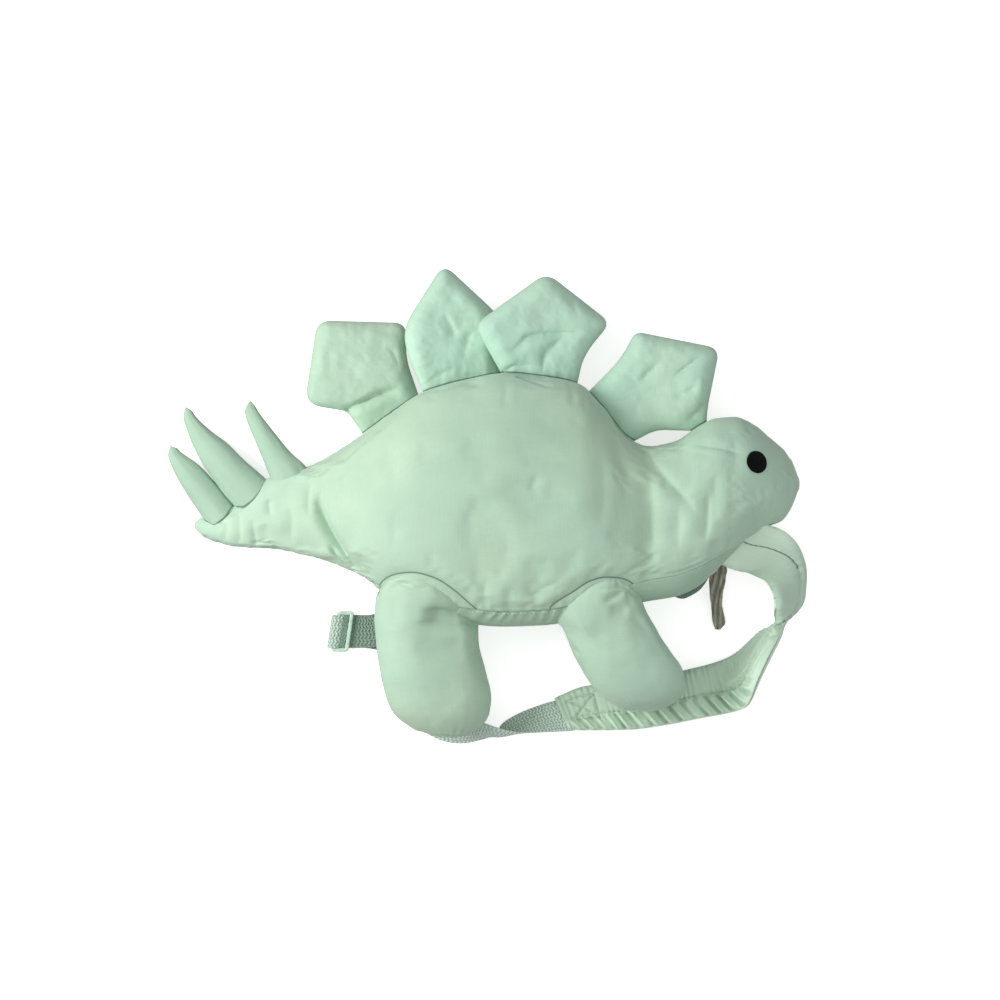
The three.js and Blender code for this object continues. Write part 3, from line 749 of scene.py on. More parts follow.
@dataclass(frozen=True)
class Woven:
    """Thick webbing: ribs in a chevron, with dark gaps between the yarns."""

    name: str
    colour: Colour
    gap: Colour
    pitch: float = 0.0026

    def material(self) -> Material:
        """Makes the finish: two slanting waves crossed into yarn bumps, the gaps between them darker."""
        s = Shader(self.name)
        across = s.add("ShaderNodeSeparateXYZ", in_0=s.place((1 / self.pitch,) * 3))
        u, v = across.outputs[0], across.outputs[1]
        zig = s.math("ABSOLUTE", s.math("SUBTRACT", s.math("FRACT", s.math("MULTIPLY", v, 0.5)), 0.5))
        lean = s.math("ADD", u, s.math("MULTIPLY", zig, 1.1))
        along = s.math("SINE", s.math("MULTIPLY", lean, 2 * math.pi))
        over = s.math("SINE", s.math("MULTIPLY", v, 2 * math.pi))
        yarn = s.math("MULTIPLY", s.math("ADD", along, 1.0), s.math("ADD", over, 1.3))
        height = s.math("POWER", s.math("MULTIPLY", yarn, 0.22), 0.6)
        fuzz = s.grain(s.place((2600, 2600, 1)), 1.0, 2.0)
        tint = s.blend(s.band(height, 0.1, 0.55), self.gap, self.colour)
        # Painted shade: the piece's mark mixes in a darker copy of the gap colour.
        tint = s.blend(s.mark("painted_shade"), tint, (*(0.41 * part for part in self.gap[:3]), 1))
        tint = s.stain(tint, fuzz, (0.8, 0.82, 0.8, 1), (1.15, 1.13, 1.15, 1))
        normal = s.bump(height, 0.9, 0.0011, s.bump(fuzz, 0.3, 0.0004))
        s.steady(Sheen_Weight=0.1, Specular_IOR_Level=0.35)
        return s.finish(tint, s.uneven(fuzz, 0.6), normal)


@dataclass(frozen=True)
class Streaked:
    """Smooth yarn or tape with streaks along it: ribbon, satin stitch, sewing thread."""

    name: str
    colour: Colour
    light: Colour
    scale: Triple
    rough: float
    relief: float
    shine: float = 0.35

    def material(self) -> Material:
        """Makes the finish: two tones mixed by noise drawn out along the thread, which is also the bump."""
        s = Shader(self.name)
        lines = s.grain(s.place(self.scale), 1.0, 3.0)
        tint = s.blend(s.band(lines, 0.32, 0.68), self.colour, self.light)
        # Painted shade: the piece's mark mixes back to the darker tone.
        tint = s.blend(s.mark("painted_shade"), tint, self.colour)
        s.steady(Specular_IOR_Level=self.shine, Sheen_Weight=0.3 * self.shine)
        return s.finish(tint, s.uneven(lines, self.rough - 0.1), s.bump(lines, self.relief, 0.0006))


@dataclass(frozen=True)
class Moulded:
    """Moulded plastic or cast metal with a fine uneven skin."""

    name: str
    colour: Colour
    rough: float
    metal: float = 0.0

    def material(self) -> Material:
        """Makes the finish: fine noise in roughness and bump, faint wear in the colour."""
        s = Shader(self.name)
        fine, wear_and_shade = s.grain(s.whole(), 1400.0, 3.0), s.grain(s.whole(), 240.0, 2.0)
        dull = (*(0.8 * part for part in self.colour[:3]), 1)
        tint = s.blend(s.band(wear_and_shade, 0.35, 0.7), self.colour, dull)
        s.steady(Metallic=self.metal, Specular_IOR_Level=0.5)
        return s.finish(tint, s.uneven(fine, self.rough - 0.1), s.bump(fine, 0.12, 0.0004))


# The third colour of the mint cotton is its painted shade, the fourth its dark seam line.
MINT = Cotton(
    "mint_cotton", (0.485, 0.652, 0.49, 1), (0.445, 0.635, 0.50, 1), (0.24, 0.36, 0.27, 1), (0.13, 0.21, 0.16, 1),
)
# Painted light: a lighter, slightly warmer copy of the mint cotton for the strap, which lies in the head's shadow.
LIT_STRAP = replace(MINT, name="strap_cotton_painted_light", colour=(0.78, 0.96, 0.76, 1), cool=(0.74, 0.94, 0.77, 1))
# Painted light: a lighter copy of the mint cotton for plates 2 to 4.
LIT_CREST = replace(MINT, name="plate_cotton_painted_light", colour=(0.51, 0.715, 0.55, 1), cool=(0.468, 0.70, 0.562, 1))
# Painted light: the webbing's colour is set well above its own so that it shows bright in the leg's shadow; painted
# shade takes it back down near the slide.
WEB = Woven("mint_webbing", (0.88, 1.0, 0.91, 1), (0.41, 0.62, 0.49, 1))
TAPE = Woven("zip_tape_weave", (0.30, 0.44, 0.36, 1), (0.12, 0.20, 0.16, 1), 0.0014)
RIBBON = Streaked("taupe_ribbon", (0.19, 0.18, 0.14, 1), (0.50, 0.49, 0.39, 1), (120, 900, 1), 0.8, 0.5)
SATIN = Streaked(
    "black_satin_stitch", (0.0015, 0.002, 0.0018, 1), (0.006, 0.008, 0.007, 1), (120, 2400, 1), 0.85, 0.8, 0.06,
)
THREAD = Streaked("mint_thread", (0.36, 0.50, 0.37, 1), (0.56, 0.72, 0.55, 1), (700, 2500, 1), 0.7, 0.6)
PLASTIC = Moulded("mint_plastic", (0.55, 0.73, 0.62, 1), 0.42)
SILVER = Moulded("zip_metal", (0.62, 0.62, 0.60, 1), 0.34, 1.0)


def shade_patches(net: Array, spots: Run) -> Array | float:
    """Painted shade: darker bell-shaped ellipses, each by middle x and y, half widths and depth."""
    return sum(d * np.exp(-(((net[..., 0] - x) / a) ** 2) - ((net[..., 1] - y) / b) ** 2) for x, y, a, b, d in spots)


def dress(piece: Piece, material: Material, slot: Slot, *nodes: str) -> Piece:
    """Gives a piece its finish and its body, and hides the CAD nodes that it stands for.

    Args:
        piece: The piece.
        material: Its finish.
        slot: The record's slot for that finish; not used.
        nodes: CAD nodes that the piece replaces.

    Returns:
        The same piece.
    """
    piece.data.materials.append(material)
    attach(piece, ROOT)
    if nodes:
        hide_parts(*nodes)
    return piece


# Body


@dataclass
class BodyShell:
    """The body, empty inside: a domed front panel, a flat back panel and a gusset with the zip between them.

    A section across the body is measured by a turn: 0 at the spine seam, half a turn at the belly
    outline, over the front first. Heights and places are in millimetres.
    """

    finish: Material
    sections: Table = Table(("x", "spine", "belly", "crown", "seam", "under", "inset"), (
        (-221.5, -12.5, -15.5, 10, 8, 5, 0), (-219, -9.5, -19, 15, 8.5, 3, 0),
        (-214, -7, -23, 21, 9.5, 1.5, 0), (-203, -3.5, -27, 27, 11.5, 0.5, 0),
        (-190, 3, -30, 33, 14, 0, 0), (-162, 22.5, -31.5, 43, 17.5, 0, 0),
        (-133, 31, -37, 52, 21, 0, 0), (-106, 46, -46, 67, 27, 0, 0),
        (-90, 57, -54, 77, 31, 0, 2), (-70, 71.5, -71, 86, 34, 0, 8),
        (-48, 85.5, -82, 92, 36, 0, 12), (-12, 96, -87.5, 95.5, 37, 0, 12.5),
        (12, 100, -89.5, 96, 37, 0, 12.5), (42, 97.5, -88.5, 95, 37, 0, 12.5),
        (68, 92.5, -84.5, 93, 36.5, 0, 13), (86, 76, -79, 89, 36, 0, 14.5),
        (106, 52, -73.5, 82, 34.5, 0, 16), (122, 45.5, -70.5, 79, 34, 0, 17),
        (142, 49.5, -67, 79, 33.5, 0, 17), (158, 60, -60, 78.5, 33, 0, 16),
        (172, 66.5, -47.5, 77, 32, 0, 11), (186, 67.5, -33.5, 73.5, 31, 0, 5),
        (198, 63, -21.5, 68.5, 29.5, 0, 0), (212, 52.5, -14.5, 60, 27, 0.5, 0),
        (222, 44, -10.5, 51, 24.5, 1.5, 0), (229, 35.5, -1, 42, 21.5, 3.5, 0),
        (233.5, 27.5, 7.5, 32, 18.5, 7, 0), (235.8, 19.5, 15.5, 22, 16, 11, 0),
    ), blur=2.0)
    folds: tuple[Fold, ...] = (
        Fold(((-121, 18), (-124, 5), (-118, -11), (-109, -27), (-96.5, -46)), 11, 1.5, 1.8, -1, 3.2, open_end=True),
        Fold(((-118, -27), (-111, -36), (-101, -45)), 4.2, 1.2, 1.0, -1, 2.2, open_end=True),
        Fold(((-128, 24), (-132, 12), (-133, 2), (-130, -12)), 2.2, 2.2, 0.6, -1, 1.8),
        Fold(((-163, 8), (-162, -1), (-162, -8)), 2.4, 1.7, 0.4, -1, 1.8),
        Fold(((-187, 0), (-185, -10), (-185, -24)), 1.4, 1.7, 0.4, -1, 1.8, open_end=True),
        Fold(((-176, -8), (-174, -18), (-173, -28)), 1.8, 1.6, 0.4, -1, 1.8, open_end=True),
        Fold(((-147, 2), (-145, -12), (-147, -28)), 1.8, 2.2, 0.4, -1, 1.8),
        Fold(((-196, -8), (-195, -16), (-197, -24)), 1.0, 1.4, 0.3, -1, 1.6, open_end=True),
        Fold(
            ((119, 42), (124, 34), (131, 24), (140, 14), (147, 6), (156, -9)), 3.4, 2.4, 0.8, -1, 2.8, open_start=True,
        ),
        Fold(((120, 32), (121.5, 12), (122.5, -8), (122.5, -28), (119, -46)), 3.4, 3.4, 0.8, -1, 2.6),
        Fold(((163, 14), (163.5, 0), (163, -12), (160, -28)), 2.4, 1.9, 0.8, -1, 2.8),
        Fold(((141, 2), (142, -12), (140, -34)), 1.6, 2.2, 0.5, -1, 2.0),
        Fold(((148, 46.5), (160, 45), (172, 43), (182, 40.5), (193, 38)), 1.5, 1.1, 0.5, 1, 3.0),
        Fold(((147, 41), (158, 39.5), (171, 37)), 0.7, 1.4, 0.3, -1, 2.0),
        Fold(((37, 25), (35, 18), (31, 11)), 1.2, 2.2, 0.6, 1, 1.6),
        Fold(((33, -73), (34.5, -65.5), (43.5, -58.5), (57, -54)), 1.9, 2.6, 0.4, -1, 1.8),
        Fold(((70, 88), (72, 80), (72, 70)), 1.0, 1.6, 0.5, 1, 1.5, open_start=True),
        Fold(((63, 90), (64, 82), (63, 72)), 0.8, 1.6, 0.4, -1, 1.5, open_start=True),
        Fold(((13, 96), (14, 84), (12, 72)), 0.8, 1.8, 0.4, 1, 1.5, open_start=True),
        Fold(((84, 40), (86, 12), (84, -18)), 0.9, 5.0, 0.4, 1),
        Fold(((178, 60), (184, 40), (182, 18)), 0.9, 5.0, 0.5, 1),
        Fold(((20, -84), (16, -72), (20, -56)), 0.9, 3.0, 0.4, 1, open_start=True),
        Fold(((-8, -80), (-2, -64), (2, -48)), 0.9, 3.4, 0.4, 1),
    )
    wall_front: float = 5.0
    wall_back: float = 4.0
    wall_gusset: float = 3.0
    front_lift: float = 0.35
    dome_power: float = 0.72
    back_power: float = 0.4
    back_fullness: float = 1.2
    room: Triple = (-116.0, 220.0, 28.0)
    zip_share: Pair = (0.38, 0.72)
    zip_span: Pair = (-86.0, 191.0)
    gusset_span: Pair = (-105.5, 197.6)
    gather_end: Pair = (100.0, 30.0)
    quiet_ends: float = 12.0
    front_grid: tuple[int, int] = (421, 193)
    inner_step: int = 8
    back_grid: tuple[int, int] = (181, 61)
    gusset_grid: tuple[int, int] = (461, 41)
    strap_dents: tuple[tuple[Run, float], ...] = ()
    dent_room: Triple = (0.8, 9.0, 14.0)
    arcs: tuple[Run, ...] = ()
    eye: Pair = (200.0, 33.3)
    eye_hold: float = 14.0
    # Painted shade: darker ellipses over the top right of the front, along the neck and faintly over all of it.
    wear_and_shade: Run = ((40, 56, 55, 26, 0.26), (116, -24, 10, 34, 0.26), (5, 0, 105, 75, 0.17))
    settle: Settle = Settle(push=1.2, spare=0.008, cap=1.4, stiff=1.0)

    def span(self) -> Pair:
        """Where the body begins at the tail and ends at the nose."""
        return self.sections.rows[0][0], self.sections.rows[-1][0]

    def half(self, s: dict[str, Array]) -> Array:
        """Half the width of a section."""
        return np.maximum((s["spine"] - s["belly"]) / 2, 0.1)

    def pressed(self, x: Array, y: Array) -> Array:
        """Height to which the strap under the back panel pushes the cloth up, easing off beside it.

        Args:
            x: First coordinates of points in plan.
            y: Second coordinates.

        Returns:
            The height over the floor, 0 away from the strap.
        """
        gap, flat, soft = self.dent_room
        x, y = np.broadcast_arrays(x, y)
        most = np.zeros(x.shape)
        for rows, thick in self.strap_dents:
            away, share = to_run(x, y, np.array(rows))
            width = smooth_values(np.linspace(0, 1, len(rows)), np.array(rows)[:, 2:3], share)[..., 0]
            most = np.maximum(most, (thick + gap) * ease(1 - (np.abs(away) - width / 2 - flat) / soft))
        return most

    def skin(self, x: Array, turn: Array, inset: float = 0.0, room: Array | float = 1.0) -> Array:
        """Points of the skin.

        y = middle of the section + half width x cos(turn). Over the front, z rises from the side
        seam to the crown by sin(turn) to the dome power; under the back it drops quickly to the
        floor, or to the strap that lies there.

        Args:
            x: Places along the body.
            turn: Turns round the section.
            inset: Depth below the skin.
            room: Share of the section's height, 0 where it is stuffed flat.

        Returns:
            The points.
        """
        s = self.sections.at(x)
        half = self.half(s)
        y = (s["spine"] + s["belly"]) / 2 + np.maximum(0.35 * half, half - inset) * np.cos(turn)
        swell = np.abs(np.sin(turn))
        rise = (s["crown"] - inset - s["seam"]) * swell**self.dome_power
        over = s["seam"] + room * np.maximum(0, rise)
        foot = s["under"] + inset
        drop = s["seam"] - self.back_fullness * (s["seam"] - foot) * swell**self.back_power
        low = np.maximum(np.maximum(foot, drop), np.minimum(s["seam"], self.pressed(x, y) + inset))
        z = np.where(turn <= np.pi, over, mix(s["seam"], low, room))
        return np.stack(np.broadcast_arrays(x + 0 * turn, y, z), -1)

    def turn_at(self, x: Array, height: Array) -> Array:
        """The turn, below the belly outline, at which the skin has a given height."""
        s = self.sections.at(x)
        share = np.clip((s["seam"] - height) / (self.back_fullness * (s["seam"] - s["under"])), 0, 1)
        return np.pi + np.arcsin(share ** (1 / self.back_power))

    def front_turn(self, x: Array) -> Array:
        """The turn of the seam between the front panel and the gusset."""
        s = self.sections.at(x)
        return np.pi - np.arccos(np.clip(1 - np.maximum(0, s["inset"]) / self.half(s), -1, 1))

    def zip_heights(self, x: Array) -> tuple[Array, Array]:
        """Top and foot of the zip."""
        s = self.sections.at(x)
        share = np.clip(s["inset"] / 8, 0, 1)
        return s["seam"] * (1 - self.zip_share[0] * share), s["seam"] * (1 - self.zip_share[1] * share)

    def room_at(self, x: Array) -> Array:
        """Share of the height that is left empty: 1 in the compartment, 0 in the stuffed head and tail."""
        return between(x, *self.room)

    def gathered(self, x: Array) -> Array:
        """Share of the gathers of the belly seam, which end before the throat."""
        end, soft = self.gather_end
        return ease((end - x) / soft)

    def creases(self, x: Array, y: Array) -> Array:
        """Height of all the folds of the front, and of the grooves where the legs are sewn on."""
        grooves = tuple(Fold(arc, 1.1, 1.6, open_start=True, open_end=True) for arc in self.arcs)
        return folded(self.folds + grooves, x, y)

    def across(self, x: Array, y: Array) -> Array:
        """Place across the section in plan, from -1 at the belly outline to 1 at the spine."""
        s = self.sections.at(x)
        return (y - (s["spine"] + s["belly"]) / 2) / self.half(s)

    def front_height(self, x: Array, y: Array) -> Array:
        """Height of the front panel over points in plan, its side seam beyond the outline."""
        s = self.sections.at(x)
        swell = np.sqrt(np.maximum(0, 1 - self.across(x, y) ** 2))
        z = s["seam"] + (s["crown"] - s["seam"]) * swell**self.dome_power
        return z + self.creases(x, y) * np.minimum(1, 1.5 * swell)

    def arc_seam(self, net: Array) -> Array:
        """Signed distance in plan to the nearer of the arcs along which the legs are sewn on."""
        first, second = (to_arc(net, arc) for arc in self.arcs)
        return np.where(np.abs(first) < np.abs(second), first, second)

    def front_panel(self) -> Piece:
        """The domed front: skin, then folds as heights, then a settled cloth with puckered edges."""
        rows, cols = self.front_grid
        x = crowded(*self.span(), rows, 0.5)[:, None]
        turn = np.linspace(0, 1, cols)[None] * self.front_turn(x)
        net = self.skin(x, turn)
        net[..., 2] += self.front_lift
        edge = np.minimum(1, 1.5 * np.abs(np.sin(turn)))
        near_eye = ease(2 - np.hypot(net[..., 0] - self.eye[0], net[..., 1] - self.eye[1]) / self.eye_hold)
        sewn = np.where(np.abs(self.arc_seam(net)) < 4, 1.0, near_eye)
        sewn[:, :5], sewn[:, -5:] = 1, 1
        sewn[:9], sewn[-9:] = 1, 1
        net = self.settle.run(net, sewn, False)
        crease = self.creases(net[..., 0], net[..., 1]) * edge
        net[..., 2] = np.maximum(net[..., 2] + crease, self.sections.at(x)["seam"] + self.front_lift)
        spine_away, belly_away = arc_length(net, 1), arc_length(net[:, ::-1], 1)[:, ::-1]
        along = arc_length(net, 0)[:, cols // 2, None]
        gathered = self.gathered(x)
        lift = gathers(along, spine_away, pitch=10.0, depth=0.5, reach=8.0, seed=3) * ease(spine_away / 3)
        belly = gathers(along, belly_away, pitch=8.0, depth=0.55, reach=7.0, seed=5)
        lift += belly * ease(belly_away / 2) * gathered
        lift += 0.6 * crumple(net[..., 0], net[..., 1], pitch=46.0, seed=11) * edge * (1 - near_eye)
        lift *= between(x, *self.span(), self.quiet_ends)
        net = net + faced(net, UP) * lift[..., None]
        seam = self.arc_seam(net)
        # Painted shade along the leg arcs, in the gathers of the belly seam, along the spine seam and in the darker
        # ellipses.
        painted_shade = deepest(
            0.35 * np.exp(-np.abs(seam) / 2.2), 0.5 * gathered * np.exp(-belly_away / 1.4),
            0.5 * np.exp(-spine_away / 1.6), shade_patches(net, self.wear_and_shade),
        )
        inner = self.skin(x, turn, self.wall_front, self.room_at(x))
        inner[..., 2] = np.minimum(inner[..., 2] + self.front_lift, net[..., 2])
        inner = inner[:, :: self.inner_step]
        net = Net(wall(net, inner), Ends.STRIP, None, {"painted_shade": painted_shade, "seam": seam}, inner.shape[1])
        piece = net.build("front_panel_cloth")
        return dress(piece, self.finish, Slot.CLOTH, "front_panel")

    def back_panel(self) -> Piece:
        """The flat back: skin from the foot of the zip round to the spine seam, puckered at its edge."""
        rows, cols = self.back_grid
        x = crowded(*self.span(), rows, 0.5)[:, None]
        first = self.turn_at(x, self.zip_heights(x)[1])
        u = np.linspace(0, 1, cols)[None]
        even = 2 * np.pi - np.arccos(np.clip(mix(np.cos(first), 1, u), -1, 1))
        turn = mix(mix(first, 2 * np.pi, u), even, 0.6)
        net = self.skin(x, turn)
        spine_away = arc_length(net[:, ::-1], 1)[:, ::-1]
        along = arc_length(net, 0)[:, cols // 2, None]
        lift = gathers(along, spine_away, pitch=9.0, depth=0.8, reach=8.0, seed=23) * ease(spine_away / 3)
        net = net + faced(net, -UP) * (lift * between(x, *self.span(), self.quiet_ends))[..., None]
        net[..., 2] = np.maximum(net[..., 2], 0.05)
        inner = self.skin(x, turn, self.wall_back, self.room_at(x))
        # Painted shade along the spine seam.
        marks = {"painted_shade": 0.6 * np.exp(-spine_away / 1.6)}
        piece = Net(wall(net, inner), Ends.STRIP, marks=marks).build("back_panel_cloth")
        return dress(piece, self.finish, Slot.CLOTH, "back_panel")

    def gusset(self) -> Piece:
        """The strip under the belly seam: skin with close gathers hanging from its upper seam."""
        rows, cols = self.gusset_grid
        x = np.linspace(*self.gusset_span, rows)[:, None]
        zip_top, zip_foot = self.zip_heights(x)
        beside = between(x, *self.zip_span, 4)
        top, foot = self.front_turn(x) + 0.006, self.turn_at(x, mix(zip_foot, zip_top, beside))
        turn = mix(top, foot, np.linspace(0, 1, cols)[None])
        net = self.skin(x, turn)
        away = arc_length(net, 1)
        from_foot = away[:, -1:] - away
        along = arc_length(net, 0)[:, :1]
        gathered = self.gathered(x)
        slant = along + 0.3 * away + 1.2 * noise(along / 13, away / 11, 33)
        lift = gathers(slant, away, pitch=8.5, depth=1.7, reach=10.0, seed=31) * ease(away / 2)
        lift = (lift + gathers(along, from_foot, pitch=9.0, depth=0.4, reach=6.0, seed=37)) * gathered
        lift = lift * ease((x - self.gusset_span[0]) / 24) * ease((self.gusset_span[1] - x) / 16)
        net = net + faced(net, np.array((0.0, -1.0, 0.0))) * lift[..., None]
        inner = self.skin(x, turn, self.wall_gusset)
        # Painted shade in the gathers under the belly seam, a little over the whole gusset and along its foot at the
        # zip.
        painted_shade = deepest(0.7 * gathered * np.exp(-away / 1.3), 0.28, 0.5 * np.exp(-from_foot / 1.3))
        piece = Net(wall(net, inner), Ends.STRIP, marks={"painted_shade": painted_shade}).build("belly_gusset_cloth")
        return dress(piece, self.finish, Slot.CLOTH, "belly_gusset")

    def build(self) -> list[Piece]:
        """Builds the panels and the gusset."""
        return [self.front_panel(), self.back_panel(), self.gusset()]


# Stuffed pieces sewn to the body


@dataclass
class Leg:
    """A stuffed leg: rounded sections along y whose upper end is sewn to the front along an arc."""

    name: str
    sections: Table
    arc: Run
    folds: tuple[Fold, ...]
    finish: Material
    seed: int
    # Painted shade: darker ellipses on the leg.
    wear_and_shade: Run
    squareness: float = 2.4
    rings: int = 141
    sides: int = 112
    settle: Settle = Settle(push=1.2, spare=0.012, cap=1.6)

    def net(self, body: BodyShell) -> Array:
        """Rings of a superellipse, held down to the body's front along the sewn arc.

        x and z run between the sides and between the underside and the top by the cosine and sine
        of the turn to a power below 1. Inside the arc the top may rise over the front only by an
        amount that grows with the distance from the arc; outside the arc it lies under the front.
        """
        y = crowded(self.sections.rows[0][0], self.sections.rows[-1][0], self.rings, 0.6)[:, None]
        s = self.sections.at(y)
        across, over = squared(circle(self.sides)[None], 2 / self.squareness)
        x = mix(s["left"], s["right"], 0.5 + 0.5 * across)
        z = mix(s["under"], s["over"], 0.5 + 0.5 * over)
        y = y + 0 * x
        inside = -to_arc(np.stack([x, y], -1), self.arc)
        far = np.maximum(0, inside)
        steep = ease((np.abs(body.across(x, y)) - 0.75) / 0.25)
        rise = 2.8 * (1 - np.exp(-far / 3.5)) + (0.12 + 4.5 * steep) * far + 0.03 * np.maximum(0, far - 4) ** 2
        limit = body.front_height(x, y) - 0.4 + np.where(inside < 0, 1.6 * inside, rise)
        z = mix(z, np.minimum(z, limit), ease((24 - inside) / 16) * ease(over * 4))
        return np.stack([x, y, z], -1)

    def build(self, body: BodyShell) -> Piece:
        """Settles the cloth, gathers it at the arc and the foot, and makes the mesh."""
        net = self.net(body)
        sewn = np.where(-to_arc(net, self.arc) < 3, 1.0, 0.0)
        sewn[[0, 1, -2, -1]] = 1
        net = self.settle.run(net, sewn, True)
        x, y = net[..., 0], net[..., 1]
        inside = -to_arc(net, self.arc)
        foot = arc_length(net[::-1], 0)[::-1]
        around = arc_length(net, 1)[self.rings // 2][None]
        lift = gathers(around, inside, pitch=8.0, depth=0.45, reach=8.0, seed=self.seed) * ease(inside / 3)
        lift += gathers(around, foot, pitch=9.0, depth=0.7, reach=16.0, seed=self.seed + 4) * ease(foot / 8)
        lift += 0.85 * crumple(x, y, pitch=30.0, seed=self.seed + 9) * ease(inside / 10)
        out = normals(net, True)
        out *= np.sign(outward(net, out))
        lift += folded(self.folds, x, y) * ease(out[..., 2] * 2) * ease(inside / 4)
        net = net + out * lift[..., None]
        # Painted shade along the sewn arc and in the leg's darker ellipses.
        painted_shade = deepest(0.35 * np.exp(-np.abs(inside) / 1.5), shade_patches(net, self.wear_and_shade))
        piece = Net(net, Ends.POINT, None, {"painted_shade": painted_shade, "seam": inside}).build(self.name + "_cloth")
        return dress(piece, self.finish, Slot.CLOTH, self.name)


@dataclass
class Plate:
    """A flat stuffed back plate whose root is sewn into the spine seam."""

    name: str
    corners: Run
    centre: Pair
    height: float
    slope: Pair
    thick: float
    folds: tuple[Fold, ...]
    finish: Material
    seed: int
    grain: float = 0.0
    edge: float = 12.0
    sides: int = 280
    rings: int = 41

    def outline(self) -> Array:
        """Evenly spaced points on the polygon of corners, each corner a quadratic bend."""
        here = np.array(self.corners, float)
        places, rounds = here[:, :2], here[:, 2:]

        def towards(other: Array) -> Array:
            """Where a bend starts on the way to a neighbouring corner."""
            way = other - places
            length = np.linalg.norm(way, axis=1, keepdims=True)
            return places + way / length * np.minimum(rounds, 0.48 * length)

        start, end = towards(np.roll(places, 1, 0)), towards(np.roll(places, -1, 0))
        t = np.linspace(0, 1, 13)[None, :, None]
        bend = (1 - t) ** 2 * start[:, None] + 2 * t * (1 - t) * places[:, None] + t * t * end[:, None]
        path = np.concatenate([bend.reshape(-1, 2), bend[0, :1]])
        length = arc_length(path, 0)
        return spread(np.linspace(0, length[-1], self.sides, endpoint=False), length, path)

    def build(self, body: BodyShell) -> Piece:
        """Makes the pillow: rings drawn from the outline to the centre, over and under.

        Half the thickness grows from the outline as a rounded edge of a given width, and is less
        near the spine seam, where the cloth is gathered flat. Depth inside the outline is the root
        of 2 over the sum of 1 / distance cubed to all the outline: near a straight edge that is the
        distance to it, and it has no ridges further in.
        """
        outline = self.outline()
        size = np.sin(np.linspace(0.02, 1, self.rings) * np.pi / 2)
        size = np.concatenate([size, size[-2::-1]])
        side = np.concatenate([np.ones(self.rings), -np.ones(self.rings - 1)])[:, None]
        side[self.rings - 1] = 0
        centre = np.array(self.centre)
        plan = centre + size[:, None, None] * (outline - centre)[None]
        x, y = plan[..., 0], plan[..., 1]
        away, share = to_run(x, y, np.concatenate([outline, outline[:1]]))
        away = np.abs(away)
        step = np.linalg.norm(outline[1] - outline[0])
        apart = np.hypot(x[..., None] - outline[:, 0], y[..., None] - outline[:, 1])
        deep = np.sqrt(2 / (step / np.maximum(apart, step) ** 3).sum(-1))
        inside = mix(away, deep, ease(away / (5 * step)))
        root = y - body.sections.at(x)["spine"]
        fill = mix(0.5, 1.0, ease((root + 6) / 34))
        half = 0.5 * self.thick * rounded(inside, self.edge, 0.68) * fill
        length = share * self.sides * step
        lift = gathers(length, away, pitch=8.5, depth=0.4, reach=4.5, seed=self.seed) * ease(away / 2)
        lift += gathers(x, root, pitch=7.0, depth=0.3, reach=6.0, seed=self.seed + 5) * ease(away / 4)
        lift += crumple(x, y, pitch=30.0, seed=self.seed + 2) * ease(away / 10)
        lift += 0.65 * crumple(x, y, pitch=13.0, seed=self.seed + 8) * ease(away / 6)
        over = folded(self.folds, x, y) * ease(away / 2.5)
        tilt = self.height + self.slope[0] * (x - centre[0]) + self.slope[1] * (y - centre[1])
        z = tilt + side * np.maximum(half + lift, 0) + np.where(side > 0, over, 0)
        net = np.stack([x, y, z], -1)
        ring = closed(plan) * MM
        c, n = math.cos(self.grain), math.sin(self.grain)
        uv = np.stack([c * ring[..., 0] - n * ring[..., 1], n * ring[..., 0] + c * ring[..., 1]], -1)
        # Painted shade along the outline and over the root at the spine seam.
        painted_shade = 0.4 * deepest(np.exp(-away / 0.9), np.exp(-np.maximum(0, root) / 3))
        piece = Net(net, Ends.POINT, uv, {"painted_shade": painted_shade, "seam": root - 0.9}).build(self.name + "_cloth")
        return dress(piece, self.finish, Slot.CLOTH, self.name)


@dataclass
class Spike:
    """A stuffed tail spike: a bowed cone, a little flatter than it is wide."""

    name: str
    base: Triple
    tip: Triple
    profile: Run
    finish: Material
    seed: int
    half_depth: float = 11.5
    rings: int = 91
    sides: int = 56

    def build(self, body: BodyShell) -> Piece:
        """Makes the spike: half width and bow by the share along its axis, to a blunt tip, in soft facets."""
        u = np.linspace(0, 1, self.rings)
        along = mix(-0.12, 1.0, 1 - (1 - u) ** 1.6)
        turn = circle(self.sides)[None]
        s = Table(("along", "half", "bow"), self.profile).at(along)
        base, tip = np.array(self.base), np.array(self.tip)
        side = unit(np.cross(UP, tip - base))
        middle = base + along[:, None] * (tip - base) + s["bow"][:, None] * side
        blunt = np.sqrt(np.clip((1.0 - along) / 0.07, 0.02, 1))
        along = along[:, None]
        facet = 1 + 0.05 * noise(4 + 1.7 * np.cos(turn), 1.7 * np.sin(turn) + 0.6 * along, self.seed)
        facet += 0.03 * noise(9 + 3 * np.cos(turn), 3 * np.sin(turn) + 3.5 * along, self.seed + 1)
        wide = (s["half"] * blunt)[:, None] * facet
        deep = (np.minimum(s["half"] * 0.85, self.half_depth) * blunt)[:, None] * facet
        net = middle[:, None] + (wide * np.cos(turn))[..., None] * side + (deep * np.sin(turn))[..., None] * UP
        root = 0.6 * (net[..., 2] - body.front_height(net[..., 0], net[..., 1]))
        # Painted shade over the whole spike, a little more along its two side edges and at its root.
        painted_shade = deepest(0.38 + 0.1 * np.exp(-((np.sin(turn) / 0.09) ** 2)), 0.6 * np.exp(-np.abs(root) / 2))
        piece = Net(net, Ends.POINT, None, {"painted_shade": painted_shade, "seam": root}).build(self.name + "_cloth")
        return dress(piece, self.finish, Slot.CLOTH, self.name)


